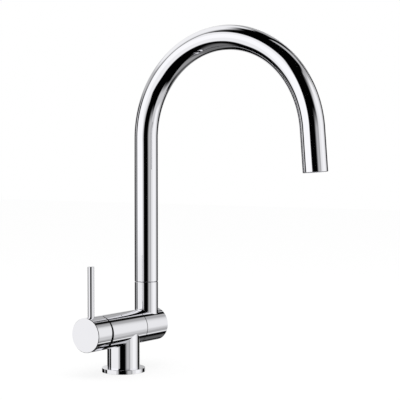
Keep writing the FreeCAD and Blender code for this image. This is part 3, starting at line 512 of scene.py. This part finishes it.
@dataclass
class Barrel:
    """A length of the lying barrel, with its ends and what stands on it."""

    start: float
    end: float
    radius: float
    axis: float
    bevel: float
    left: list[tuple[float, float]]
    right: list[tuple[float, float]]
    branches: list[Branch]
    steps: int = 192
    pitch: float = 0.8
    spread: int = 8

    def build(self, blank: Blank) -> None:
        """Draws the wall, opens it for each branch and closes the ends.

        Args:
            blank: The mesh that it is drawn in.
        """
        radius, bevel = self.radius, self.bevel
        columns = [self.start + bevel, self.end - bevel]
        for branch in self.branches:
            low, high = branch.window
            count = max(2, round((high - low) / self.pitch))
            columns += [low + (high - low) * i / count for i in range(count + 1)]
        columns.sort()
        lying = Matrix.Rotation(math.radians(90), 4, "Y")
        turn = Matrix.Translation((columns[0], 0, self.axis)) @ lying
        first = blank.circle(radius, self.steps, turn)
        for vert in {v for edge in first for v in edge.verts}:
            self._wall_normal(blank, vert)
        ring = first
        for here, there in zip(columns, columns[1:]):
            if there - here < SAME_PLACE:
                continue

            def slide(vert: BMVert, x: float = there) -> None:
                """Moves a vertex along the barrel."""
                vert.co.x = x
                self._wall_normal(blank, vert)

            ring = blank.draw_out(ring, slide)
        self._close(blank, first, [(self.start, radius - bevel), *self.left])
        self._close(blank, ring, [(self.end, radius - bevel), *self.right])
        for branch in self.branches:
            self._open(blank, branch)

    def _wall_normal(self, blank: Blank, vert: BMVert) -> None:
        """Keeps the barrel's exact normal at a vertex on its wall."""
        vert[blank.exact] = Vector((0, vert.co.y, vert.co.z - self.axis)).normalized()

    def _close(self, blank: Blank, ring: list[BMEdge],
               profile: list[tuple[float, float]]) -> None:
        """Closes an end of the wall.

        Args:
            blank: The mesh that it is drawn in.
            ring: The wall's open edges at that end.
            profile: The rings from there on, as (place, radius), of which the last is filled.
        """
        for x, radius in profile:

            def place(vert: BMVert, x: float = x, radius: float = radius) -> None:
                """Puts a vertex on the ring.

                Args:
                    vert: The vertex.
                    x: The ring's place along the barrel.
                    radius: The ring's radius.
                """
                out = Vector((0, vert.co.y, vert.co.z - self.axis)).normalized()
                vert.co = Vector((x, 0, self.axis)) + out * radius
                vert[blank.exact] = Vector()

            ring = blank.draw_out(ring, place)
        blank.cap(ring)

    def _open(self, blank: Blank, branch: Branch) -> None:
        """Cuts the wall's window for a branch and draws the branch out of it.

        Args:
            blank: The mesh that it is drawn in.
            branch: What stands or sinks there.
        """
        bm, big, small, root = blank.bm, self.radius, branch.radius, branch.root
        half = math.radians(branch.half_angle)

        def unrolled(point: Vector) -> tuple[float, float]:
            """A point of the wall as distances along the barrel and round it."""
            angle = math.atan2(point.y, branch.side * (point.z - self.axis))
            return point.x - branch.at, angle * big

        window = []
        low, high = branch.window
        for face in bm.faces:
            centre = face.calc_center_median()
            on_wall = math.hypot(centre.y, centre.z - self.axis) > big - ON_WALL
            if on_wall and low < centre.x < high and abs(unrolled(centre)[1]) < half * big:
                window.append(face)
        rim = [edge for face in window for edge in face.edges]
        rim = [edge for edge in set(rim) if sum(f in window for f in edge.link_faces) == 1]
        bmesh.ops.delete(bm, geom=window, context="FACES")
        layers = bm.verts.layers.float_vector
        track = layers.get("track") or layers.new("track")
        for vert in {v for edge in rim for v in edge.verts}:
            along, around = unrolled(vert.co)
            vert[track] = Vector((along, around, math.atan2(around, along)))
        mouth, reach = small + abs(root), big + root

        def mouth_point(theta: float) -> tuple[float, float]:
            """Where the rounding meets the barrel, on the unrolled wall."""
            across = mouth * math.sin(theta) / (reach if root > 0 else big)
            return mouth * math.cos(theta), big * math.asin(max(-1.0, min(1.0, across)))

        ring = rim
        for step in range(1, self.spread + 1):
            share = step / self.spread

            def over_wall(vert: BMVert, share: float = share) -> None:
                """Moves a vertex over the wall towards the mouth.

                Args:
                    vert: The vertex.
                    share: How far it has come from the window's rim.
                """
                along, around, theta = vert[track]
                goal = mouth_point(theta)
                x = along + (goal[0] - along) * share
                angle = (around + (goal[1] - around) * share) / big
                vert.co = Vector((branch.at + x, big * math.sin(angle),
                                  self.axis + branch.side * big * math.cos(angle)))
                self._wall_normal(blank, vert)

            ring = blank.draw_out(ring, over_wall)

        def ball_centre(theta: float) -> Vector:
            """The middle of the ball that rolls round the root."""
            y = mouth * math.sin(theta)
            return Vector((mouth * math.cos(theta), y, math.sqrt(max(reach * reach - y * y, 0.0))))

        if root > 0:
            for step in range(1, branch.bends + 1):
                share = step / branch.bends

                def over_root(vert: BMVert, share: float = share) -> None:
                    """Moves a vertex over the rounding.

                    Args:
                        vert: The vertex.
                        share: How far it has come from the wall.
                    """
                    theta = vert[track][2]
                    ball = ball_centre(theta)
                    down = Vector((0, -ball.y, -ball.z)).normalized()
                    inward = Vector((-math.cos(theta), -math.sin(theta), 0))
                    angle = down.angle(inward)
                    way = down * math.sin((1 - share) * angle) + inward * math.sin(share * angle)
                    way /= math.sin(angle)
                    point = ball + way * root
                    height = self.axis + branch.side * point.z
                    vert.co = Vector((branch.at + point.x, point.y, height))
                    vert[blank.exact] = Vector((-way.x, -way.y, -way.z * branch.side))

                ring = blank.draw_out(ring, over_root)
        else:
            def under_edge(vert: BMVert) -> None:
                """Moves a vertex down over the broken edge of a socket.

                Args:
                    vert: The vertex.
                """
                theta = vert[track][2]
                y = small * math.sin(theta)
                height = self.axis + branch.side * (math.sqrt(big * big - y * y) + root)
                vert.co = Vector((branch.at + small * math.cos(theta), y, height))
                vert[blank.exact] = Vector()

            ring = blank.draw_out(ring, under_edge)
        for radius, height in branch.rings:

            def up_branch(vert: BMVert, radius: float = radius, height: float = height) -> None:
                """Moves a vertex to the next ring of the branch.

                Args:
                    vert: The vertex.
                    radius: The ring's radius.
                    height: The ring's height above the barrel's axis.
                """
                theta = vert[track][2]
                out = Vector((math.cos(theta), math.sin(theta), 0))
                vert.co = Vector((branch.at, 0, self.axis + branch.side * height)) + out * radius
                vert[blank.exact] = out if root > 0 and radius == small else Vector()

            ring = blank.draw_out(ring, up_branch)
        blank.cap(ring)


# ---------------------------------------------------------------------------
# The tap's pieces
# ---------------------------------------------------------------------------
@dataclass
class Assembly:
    """What every sub-assembly shares: the finishes, and how a piece joins the frame."""

    workshop: Workshop

    def fit(self, piece: bpy.types.Object, finish: Finish, body: str, slot: str,
            *nodes: str) -> bpy.types.Object:
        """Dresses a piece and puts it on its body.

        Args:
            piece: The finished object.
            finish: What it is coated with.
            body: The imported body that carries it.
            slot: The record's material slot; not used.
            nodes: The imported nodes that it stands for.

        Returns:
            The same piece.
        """
        piece.data.materials.clear()
        piece.data.materials.append(self.workshop.material(finish))
        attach(piece, body)
        if nodes:
            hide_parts(*nodes)
        log.info("%s: %d faces", piece.name, len(piece.data.polygons))
        return piece

    def line(self, piece: bpy.types.Object, finish: Finish,
             hidden: Callable[[float, float], bool]) -> None:
        """Gives the faces inside a length of the barrel another finish, which darkens them with
        painted shade.

        Args:
            piece: A dressed piece that lies round the barrel's axis.
            finish: What its inside is given: duller plate darkened with painted shade.
            hidden: True for an inside face's place along the axis and radius, in millimetres.
        """
        piece.data.materials.append(self.workshop.material(finish))
        for face in piece.data.polygons:
            x, y, z = (number / MM for number in face.center)
            if hidden(x, math.hypot(y, z - self.axis)):
                face.material_index = 1


@dataclass
class Foot(Assembly):
    """The flange that the tap stands on."""

    diameter: float = 50.4
    thickness: float = 4.8
    edge: float = 0.5
    under_edge: float = 0.15
    facets: int = 192
    spigot: float = 35.0
    gasket_inner: float = 37.0
    gasket_outer: float = 43.0
    gasket: float = 1.6

    def build(self) -> None:
        """Turns the flange."""
        blank = Blank()
        inner, outer = self.spigot / 2, self.diameter / 2
        blank.lathe([
            (inner, 0), (self.gasket_inner / 2, 0), (self.gasket_inner / 2, self.gasket),
            (self.gasket_outer / 2, self.gasket), (self.gasket_outer / 2, 0),
            (outer, 0, self.under_edge), (outer, self.thickness, self.edge),
            (inner, self.thickness)], self.facets)
        self.fit(blank.finish("foot_flange"), CHROME, "tap_body", "chrome", "base_flange")


@dataclass
class Castings(Assembly):
    """The two fixed lengths of the barrel: one on the leg, one with the stub."""

    axis: float = 49.5
    radius: float = 19.6
    bevel: float = 0.3
    left: float = -41.9
    seam: float = 20.8
    gap: float = 0.4
    end: float = 60.8
    cartridge_bore: float = 16.0
    cartridge_step: float = -31.0
    cartridge_neck: float = 14.0
    cartridge_floor: float = -14.0
    coupling_bore: float = 13.0
    coupling_start: float = 8.8
    coupling_end: float = 33.2
    knob_recess: float = 14.5
    knob_floor: float = 55.6
    valve_bore: float = 10.0
    valve_floor: float = 38.4
    leg: float = 19.0
    leg_root: float = 0.25
    leg_window: tuple[float, float] = (-21.0, 20.3)
    leg_half_angle: float = 82.0
    leg_bore: float = 16.0
    spigot_wall: float = 1.5
    flange_top: float = 4.8
    leg_foot: float = 1.4
    block_top: float = 28.0
    riser_x: float = 44.1
    riser: float = 14.0
    root: float = 0.6
    root_bends: int = 6
    stub_window: tuple[float, float] = (26.0, 60.4)
    stub_half_angle: float = 56.0
    stub_top: float = 101.2
    stub_bore: float = 11.2
    stub_floor: float = 63.1

    def build(self) -> None:
        """Makes both castings."""
        middle = self.fit(self.middle(), CHROME, "tap_body", "chrome", "main_body")
        # The cartridge bore and the end face in the seam get the dark bore finish: duller plate
        # and painted shade.
        self.line(middle, DULL_BORE_PAINTED_SHADE, self.in_cartridge_bore)
        self.fit(self.far(), CHROME, "tap_body", "chrome", "spout_foot")

    def in_cartridge_bore(self, x: float, radius: float) -> bool:
        """True for a face of the middle casting that the cap and the cartridge cover."""
        return x < self.left + ON_WALL or (x < 0 and radius < self.cartridge_bore + ON_WALL)

    def middle(self) -> bpy.types.Object:
        """Makes the length on the leg, bored for the cartridge, the coupling and the hoses.

        Returns:
            The new object.
        """
        spigot = self.leg_bore + self.spigot_wall
        leg = Branch(
            at=0.0, radius=self.leg, up=False, root=self.leg_root, window=self.leg_window,
            half_angle=self.leg_half_angle,
            rings=[(self.leg, self.axis - self.flange_top), (spigot, self.axis - self.flange_top),
                   (spigot, self.axis - self.leg_foot), (self.leg_bore, self.axis - self.leg_foot),
                   (self.leg_bore, self.axis - self.block_top)])
        blank = Blank()
        Barrel(self.left, self.seam, self.radius, self.axis, self.bevel,
               left=[(self.left, self.cartridge_bore), (self.cartridge_step, self.cartridge_bore),
                     (self.cartridge_step, self.cartridge_neck),
                     (self.cartridge_floor, self.cartridge_neck)],
               right=[(self.seam, self.coupling_bore), (self.coupling_start, self.coupling_bore)],
               branches=[leg]).build(blank)
        return blank.finish("middle_casting")

    def far(self) -> bpy.types.Object:
        """Makes the length with the stub, bored for the coupling, the valve and the sleeve.

        Returns:
            The new object.
        """
        top = self.stub_top - self.axis
        stub = Branch(
            at=self.riser_x, radius=self.riser, up=True, root=self.root, window=self.stub_window,
            half_angle=self.stub_half_angle, bends=self.root_bends,
            rings=[(self.riser, top - self.bevel), (self.riser - self.bevel, top),
                   (self.stub_bore, top), (self.stub_bore, self.stub_floor - self.axis)])
        blank = Blank()
        start = self.seam + self.gap
        Barrel(start, self.end, self.radius, self.axis, self.bevel,
               left=[(start, self.coupling_bore), (self.coupling_end, self.coupling_bore)],
               right=[(self.end, self.knob_recess), (self.knob_floor, self.knob_recess),
                      (self.knob_floor, self.valve_bore), (self.valve_floor, self.valve_bore)],
               branches=[stub]).build(blank)
        return blank.finish("far_casting")


@dataclass
class Spout(Assembly):
    """The bent spout and what its end holds."""

    x: float = 44.1
    foot: float = 101.6
    spring: float = 270.9
    bend: float = 113.2
    turn: float = 175.3
    run: float = 47.7
    radius: float = 14.0
    wall: float = 1.2
    rim: float = 0.5
    bend_steps: int = 160
    facets: int = 128
    cup_inner: float = 9.4
    cup_outer: float = 11.0
    cup_low: float = 0.8
    cup_high: float = 11.8
    cup_edge: float = 0.2
    cup_facets: int = 96
    lip_reach: float = 1.6
    lip: float = 1.0
    notch_pitch: float = 60.0
    notch: tuple[float, float] = (22.0, 38.0)
    notch_depth: float = 1.2
    jets: int = 12
    jet_circle: float = 6.7
    jet_face: float = 2.6
    jet_hole: float = 0.7
    jet_foot: float = 1.5
    jet_tip: float = 1.15
    jet_rise: float = 0.55
    jet_outer_edge: float = 0.15
    jet_inner_edge: float = 0.1
    jet_facets: int = 24

    def outlet(self) -> Matrix:
        """Works out where the tube ends.

        Returns:
            The outlet's place: local Z looks back up the tube from the middle of its mouth.
        """
        angle = math.radians(self.turn)
        down = Vector((0, -math.sin(angle), math.cos(angle)))
        mouth = Vector((self.x, self.bend * (math.cos(angle) - 1),
                        self.spring + self.bend * math.sin(angle)))
        lean = Vector((0, 0, 1)).rotation_difference(-down).to_matrix().to_4x4()
        return Matrix.Translation(mouth + down * self.run) @ lean

    def build(self) -> None:
        """Makes the spout tube and what shows in its mouth."""
        self.fit(self.tube(), CHROME, "spout", "chrome", "spout_tube")
        self.fit(self.aerator_ring(), GREY_PLASTIC, "spout", "grey_plastic", "aerator_cup")
        self.fit(self.jet_rims(), GREY_PLASTIC, "spout", "grey_plastic")

    def tube(self) -> bpy.types.Object:
        """Draws the outer wall up, over and down, turns in at the mouth and comes back inside.

        Returns:
            The new object.
        """
        blank = Blank()
        mouth = self.outlet()
        inner = (self.radius - self.wall) / self.radius
        down = -(mouth.to_3x3() @ Vector((0, 0, 1))) * self.run

        def to_spring(vert: BMVert) -> None:
            """Moves a vertex up to where the bend starts."""
            vert.co.z = self.spring

        def to_foot(vert: BMVert) -> None:
            """Moves a vertex down to the seam."""
            vert.co.z = self.foot

        def narrow(vert: BMVert) -> None:
            """Moves a vertex in across the mouth."""
            local = mouth.inverted() @ vert.co
            vert.co = mouth @ Vector((local.x * inner, local.y * inner, local.z))

        def widen(vert: BMVert) -> None:
            """Moves a vertex out across the foot."""
            out = (vert.co.x - self.x) / inner
            vert.co = Vector((self.x + out, vert.co.y / inner, self.foot))

        where = Matrix.Translation((self.x, 0, self.foot))
        first = blank.circle(self.radius, self.facets, where)
        ring = self.over(blank, blank.draw_out(first, to_spring), self.turn)
        rim = blank.draw_out(ring, lambda vert: setattr(vert, "co", vert.co + down))
        ring = blank.draw_out(rim, narrow)
        ring = blank.draw_out(ring, lambda vert: setattr(vert, "co", vert.co - down))
        ring = self.over(blank, ring, -self.turn)
        ring = blank.draw_out(ring, to_foot)
        blank.weld(blank.draw_out(ring, widen), first)
        blank.round_off(first + rim, self.rim)
        return blank.finish("spout_pipe")

    def over(self, blank: Blank, ring: list[BMEdge], turn: float) -> list[BMEdge]:
        """Spins a ring round the bend, forwards or back, and returns the last one."""
        spun = bmesh.ops.spin(
            blank.bm, geom=ring, cent=(self.x, -self.bend, self.spring), axis=(1, 0, 0),
            dvec=(0, 0, 0), angle=math.radians(turn), steps=self.bend_steps)
        return [item for item in spun["geom_last"] if isinstance(item, BMEdge)]

    def aerator_ring(self) -> bpy.types.Object:
        """Makes the aerator's cup, with notches for its key round the lip.

        Returns:
            The new object.
        """
        blank = Blank()
        inner, low, high = self.cup_inner, self.cup_low, self.cup_high
        blank.lathe([(inner, low, self.cup_edge), (self.cup_outer, low, self.cup_edge),
                     (self.cup_outer, high), (inner - self.lip_reach, high),
                     (inner - self.lip_reach, high - self.lip), (inner, high - self.lip)],
                    self.cup_facets)
        notch = [face for face in blank.bm.faces if self.in_notch(face.calc_center_median())]
        made = bmesh.ops.extrude_face_region(blank.bm, geom=notch)["geom"]
        deeper = [item for item in made if isinstance(item, BMVert)]
        bmesh.ops.delete(blank.bm, geom=notch, context="FACES")
        bmesh.ops.translate(blank.bm, vec=(0, 0, self.notch_depth), verts=deeper)
        bmesh.ops.transform(blank.bm, matrix=self.outlet(), verts=blank.bm.verts)
        return blank.finish("aerator_ring")

    def in_notch(self, place: Vector) -> bool:
        """Tells the faces that the key's notches are cut from.

        Args:
            place: The middle of a face, before the cup is put in the tube.

        Returns:
            True on the flat end of the cup, at a notch.
        """
        angle = math.degrees(math.atan2(place.y, place.x)) % self.notch_pitch
        middle = (self.cup_inner + self.cup_outer) / 2
        half = (self.cup_outer - self.cup_inner) / 2 - self.cup_edge
        flat = abs(place.z - self.cup_low) < self.cup_edge / 10
        start, end = self.notch
        return flat and abs(place.xy.length - middle) < half and start < angle < end

    def jet_rims(self) -> bpy.types.Object:
        """Makes the raised lips of the soft jets.

        Returns:
            The new object.
        """
        blank = Blank()
        for i in range(self.jets):
            turn = Matrix.Rotation(math.tau * i / self.jets, 4, "Z")
            where = Matrix.Translation(turn @ Vector((self.jet_circle, 0, 0)))
            tip = self.jet_face - self.jet_rise
            blank.lathe([(self.jet_hole, self.jet_face), (self.jet_foot, self.jet_face),
                         (self.jet_tip, tip, self.jet_outer_edge),
                         (self.jet_hole, tip, self.jet_inner_edge)],
                        self.jet_facets, self.outlet() @ where)
        return blank.finish("jet_rims")


@dataclass
class Lever(Assembly):
    """The round cap on the barrel's near end and the rod that it is worked by."""

    axis: float = 49.5
    radius: float = 19.6
    face: float = -68.4
    inner_floor: float = -53.4
    bore: float = 17.2
    edge_top: float = -43.3
    edge_bottom: float = -46.9
    chamfer: float = 0.5
    rod_x: float = -58.4
    rod: float = 3.7
    rod_top: float = 126.1
    rod_edge: float = 0.5
    rod_facets: int = 64
    socket: float = 13.0
    socket_window: tuple[float, float] = (-64.0, -54.0)
    socket_half_angle: float = 18.0
    broken_edge: float = 0.12
    plug: float = 2.5
    plug_floor: float = 14.0
    plug_window: tuple[float, float] = (-62.0, -55.0)
    plug_half_angle: float = 12.0
    uncut_end: float = -40.0

    def build(self) -> None:
        """Makes the cap and the rod."""
        cap = self.fit(self.cap(), CHROME, "handle", "chrome", "handle_cap")
        # The cap's hollow back gets the dark bore finish: duller plate and painted shade.
        self.line(cap, DULL_BORE_PAINTED_SHADE, self.inside_cap)
        blank = Blank()
        blank.lathe([(0, self.axis + self.socket), (self.rod, self.axis + self.socket),
                     (self.rod, self.rod_top, self.rod_edge), (0, self.rod_top)],
                    self.rod_facets, Matrix.Translation((self.rod_x, 0, 0)))
        self.fit(blank.finish("lever_pin"), CHROME, "handle", "chrome", "lever_rod")

    def inside_cap(self, x: float, radius: float) -> bool:
        """True for a face of the cap's hollow back."""
        return x > self.inner_floor - ON_WALL and radius < self.radius - 2 * ON_WALL

    def cap(self) -> bpy.types.Object:
        """Makes the cap, hollow at the back, with its rear edge cut on a slant.

        Returns:
            The new object.
        """
        blank = Blank()
        end = self.uncut_end
        socket = Branch(at=self.rod_x, radius=self.rod, up=True, root=-self.broken_edge,
                        window=self.socket_window, half_angle=self.socket_half_angle,
                        rings=[(self.rod, self.socket)])
        hole = Branch(at=self.rod_x, radius=self.plug, up=False, root=-self.broken_edge,
                      window=self.plug_window, half_angle=self.plug_half_angle,
                      rings=[(self.plug, self.plug_floor)])
        Barrel(self.face, end, self.radius, self.axis, self.chamfer, left=[],
               right=[(end, self.bore), (self.inner_floor, self.bore)],
               branches=[socket, hole]).build(blank)
        bm = blank.bm
        top = Vector((self.edge_top, 0, self.axis + self.radius))
        bottom = Vector((self.edge_bottom, 0, self.axis - self.radius))
        slant = (top - bottom).normalized()
        normal = Vector((slant.z, 0, -slant.x))
        everything = bm.verts[:] + bm.edges[:] + bm.faces[:]
        cut = bmesh.ops.bisect_plane(bm, geom=everything, plane_co=top, plane_no=normal,
                                     clear_outer=True)
        rim = [item for item in cut["geom_cut"] if isinstance(item, BMEdge)]
        bmesh.ops.bridge_loops(bm, edges=rim)
        return blank.finish("lever_cap")


@dataclass
class FilterKnob(Assembly):
    """The low knob in the barrel's far end."""

    axis: float = 49.5
    radius: float = 13.5
    back: float = 56.9
    shoulder: float = 60.8
    face: float = 66.2
    edge: float = 0.5
    inner_edge: float = 0.15
    flutes: int = 12
    flute: float = 1.2
    steps_per_flute: int = 20

    def build(self) -> None:
        """Draws the fluted knob."""
        blank = Blank()
        steps = self.flutes * self.steps_per_flute
        lying = Matrix.Rotation(math.radians(90), 4, "Y")
        turn = Matrix.Translation((self.back, 0, self.axis)) @ lying
        first = blank.circle(self.radius, steps, turn)
        ring = first
        for x, inset, fluted in ((self.shoulder, 0.0, False), (self.shoulder, 0.0, True),
                                 (self.face - self.edge, 0.0, True),
                                 (self.face - self.inner_edge, self.inner_edge, True),
                                 (self.face, self.edge, True)):

            def place(vert: BMVert, x: float = x, inset: float = inset,
                      fluted: bool = fluted) -> None:
                """Puts a vertex on the knob's outline at one depth.

                Args:
                    vert: The vertex.
                    x: The ring's place along the barrel.
                    inset: How far it lies inside the outline.
                    fluted: Whether the outline has flutes there.
                """
                out = Vector((0, vert.co.y, vert.co.z - self.axis)).normalized()
                angle = math.atan2(out.z, out.y)
                reach = (self.outline(angle) if fluted else self.radius) - inset
                vert.co = Vector((x, 0, self.axis)) + out * reach

            ring = blank.draw_out(ring, place)
        blank.cap(ring)
        blank.cap(first)
        self.fit(blank.finish("water_knob"), CHROME, "filter_control", "chrome", "filter_knob")

    def outline(self, angle: float) -> float:
        """Follows the knob's outline.

        Args:
            angle: The place round the knob, in radians.

        Returns:
            The fluted outline's radius there.
        """
        pitch = math.tau / self.flutes
        away = (angle + pitch / 2) % pitch - pitch / 2
        side = self.radius * math.sin(abs(away))
        if side >= self.flute:
            return self.radius
        return self.radius * math.cos(away) - math.sqrt(self.flute ** 2 - side ** 2)


@dataclass
class InnerParts(Assembly):
    """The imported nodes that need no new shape, each given its own finish."""

    finishes: dict[str, Finish] = field(default_factory=lambda: {"aerator_gauze": GAUZE})

    def build(self, frame: dict) -> None:
        """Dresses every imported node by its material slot."""
        slots = {row["node"]: row["material_slot"] for row in frame["record"]["subparts"]}
        for name, node in frame["nodes"].items():
            finish = self.finishes.get(name) or SLOT_FINISHES[slots[name]]
            node.data.materials.clear()
            node.data.materials.append(self.workshop.material(finish))


# ---------------------------------------------------------------------------
# The studio
# ---------------------------------------------------------------------------
@dataclass(frozen=True)
class Panel:
    """A lit card round the tap, as polished metal sees it.

    Angles are in degrees: across from the lens towards the right, and up from level.
    """

    left: float
    right: float
    low: float
    high: float
    strength: float
    soft: float
    soft_up: float

    def light(self, across: Field, up: Field) -> Field:
        """What the card gives in a direction."""
        card = across.between(self.left, self.right, self.soft)
        return card * up.between(self.low, self.high, self.soft_up) * self.strength


@dataclass
class Studio:
    """White floor and surroundings, soft light, and the cards that the chrome mirrors."""

    turn: float = -55.14
    pitch: float = 2.10
    eye: tuple[float, float, float] = (-1.15415, -0.91253, 0.25303)
    lens: float = 114.23
    film: float = 36.0
    far: float = 50.0
    panels: tuple[Panel, ...] = (
        Panel(-92.3, -32.3, -29.2, 38.9, 0.90, 6.3, 5.3),
        Panel(-169.1, -99.2, 19.1, 63.8, 0.91, 26.5, 14.0),
        Panel(-177.8, -152.8, -20.1, 67.8, 0.85, 7.2, 8.2),
        Panel(153.1, 203.8, -22.0, 59.9, 0.42, 2.1, 10.3),
        Panel(48.4, 119.1, -19.3, 39.9, 0.85, 21.6, 29.5),
        Panel(59.1, 125.1, -29.5, 52.6, 0.42, 4.2, 4.5),
        Panel(43.1, 113.9, -52.1, -9.4, 0.60, 5.7, 17.6),
        Panel(22.8, 49.7, -22.3, 13.5, 0.51, 17.7, 20.6),
        Panel(100.4, 131.4, 43.6, 86.4, 0.51, 9.9, 11.4),
        Panel(98.3, 214.6, -91.4, -48.7, 0.30, 4.2, 23.1),
        Panel(-194.5, -81.7, -90.8, -46.0, 0.15, 28.9, 10.6),
        Panel(124.3, 128.7, 13.5, 31.8, 1.35, 5.6, 26.0),
        Panel(143.6, 145.4, 21.1, 39.1, 1.50, 4.9, 3.5),
        Panel(-92.6, -32.5, -8.1, 28.0, 1.02, 4.3, 11.2),
        Panel(119.0, 123.9, -35.3, -26.7, 0.92, 4.4, 2.4),
        Panel(-117.2, -108.1, -8.6, 12.1, 0.94, 2.6, 29.2),
        Panel(-44.2, -22.7, -19.0, 1.4, 0.63, 8.1, 2.3),
        Panel(66.4, 105.6, -35.8, 46.0, 0.95, 16.9, 20.9),
        Panel(161.3, 175.5, 16.0, 24.6, 1.50, 8.5, 2.0),
        Panel(-167.6, -101.2, 11.3, 25.7, 0.52, 39.3, 5.9),
        Panel(-193.9, -141.4, -0.3, 11.3, 0.49, 4.3, 3.6),
        Panel(141.0, 144.7, 38.1, 40.9, 0.25, 3.0, 3.7),
        Panel(139.9, 163.5, -42.3, -17.2, 0.11, 11.1, 6.6),
    )
    unlit: float = 0.0006
    plain: float = 0.85
    lamp_size: float = 1.5
    lamp_power: float = 6.0
    lamp_place: tuple[float, float, float] = (-0.4, -0.5, 1.6)
    lamp_aim: tuple[float, float, float] = (0.0, 0.0, 0.2)
    floor_reach: float = 4.0
    floor_glow: float = 1.15
    floor_share: float = 0.65
    floor_grey: float = 0.8
    floor_roughness: float = 0.9

    def build(self) -> None:
        """Sets up the camera, the world, the floor and the lamp."""
        self.camera()
        self.world()
        self.floor()
        self.lamp()
        bpy.context.scene.view_settings.view_transform = "Standard"

    def camera(self) -> None:
        """The camera where the photograph was taken from."""
        data = bpy.data.cameras.new("photo_camera")
        data.sensor_width = self.film
        data.lens = self.lens
        data.clip_end = self.far
        made = bpy.data.objects.new("photo_camera", data)
        made.location = self.eye
        made.rotation_euler = (math.radians(90 - self.pitch), 0, math.radians(self.turn))
        bpy.context.scene.collection.objects.link(made)
        bpy.context.scene.camera = made

    def world(self) -> None:
        """White to the lens, even light on everything, and the cards in mirrors."""
        world = bpy.data.worlds.new("studio")
        world.use_nodes = True
        bpy.context.scene.world = world
        kit = NodeKit(world.node_tree)
        direction = kit.node("ShaderNodeTexCoord").outputs["Generated"]
        split = kit.node("ShaderNodeSeparateXYZ", None, {0: direction})
        x, y, z = (Field(kit, split.outputs[i]) for i in range(3))
        cos, sin = math.cos(math.radians(self.turn)), math.sin(math.radians(self.turn))
        degrees = 180 / math.pi
        across = (x * cos + y * sin).heading(x * sin - y * cos) * degrees
        up = z.arcsine() * degrees
        mirrored: Field | float = self.unlit
        for panel in self.panels:
            mirrored = panel.light(across, up).brighter(mirrored)
        path = kit.node("ShaderNodeLightPath")
        seen = Field(kit, path.outputs["Is Camera Ray"])
        glossy = Field(kit, path.outputs["Is Glossy Ray"])
        glossy = glossy.brighter(Field(kit, path.outputs["Is Transmission Ray"]))
        level = seen + (1 - seen) * (glossy * mirrored + (1 - glossy) * self.plain)
        background = kit.node("ShaderNodeBackground", None, {
            "Color": (1, 1, 1, 1), "Strength": level})
        kit.node("ShaderNodeOutputWorld", None, {"Surface": background.outputs[0]})

    def floor(self) -> None:
        """A plain white floor that keeps a faint shadow and isn't mirrored in the chrome."""
        bm = bmesh.new()
        bmesh.ops.create_grid(bm, x_segments=1, y_segments=1, size=self.floor_reach)
        mesh = bpy.data.meshes.new("floor")
        bm.to_mesh(mesh)
        bm.free()
        made = bpy.data.objects.new("floor", mesh)
        bpy.context.scene.collection.objects.link(made)
        made.visible_glossy = False
        paint = bpy.data.materials.new("white_floor")
        paint.use_nodes = True
        kit = NodeKit(paint.node_tree)
        seen = Field(kit, kit.node("ShaderNodeLightPath").outputs["Is Camera Ray"])
        grey = (self.floor_grey,) * 3
        shaded = kit.node("ShaderNodeBsdfPrincipled", None, {
            "Base Color": (*grey, 1), "Roughness": self.floor_roughness,
            "Specular IOR Level": 0.0})
        glow = kit.node("ShaderNodeEmission", None, {
            "Color": (1, 1, 1, 1), "Strength": self.floor_glow})
        mixed = kit.node("ShaderNodeMixShader", None, {
            0: seen * self.floor_share, 1: shaded.outputs[0], 2: glow.outputs[0]})
        kit.node("ShaderNodeOutputMaterial", None, {"Surface": mixed.outputs[0]})
        mesh.materials.append(paint)

    def lamp(self) -> None:
        """One large soft lamp overhead."""
        data = bpy.data.lights.new("overhead", "AREA")
        data.shape = "DISK"
        data.size = self.lamp_size
        data.energy = self.lamp_power
        made = bpy.data.objects.new("overhead", data)
        made.location = self.lamp_place
        aim = Vector(self.lamp_aim) - Vector(self.lamp_place)
        made.rotation_euler = aim.to_track_quat("-Z", "Y").to_euler()
        made.visible_glossy = False
        bpy.context.scene.collection.objects.link(made)


def main() -> None:
    """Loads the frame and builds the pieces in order."""
    logging.basicConfig(level=logging.INFO, format="%(name)s: %(message)s")
    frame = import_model()
    workshop = Workshop()
    Studio().build()
    InnerParts(workshop).build(frame)
    Foot(workshop).build()
    Castings(workshop).build()
    Lever(workshop).build()
    Spout(workshop).build()
    FilterKnob(workshop).build()


if __name__ == "__main__":
    main()
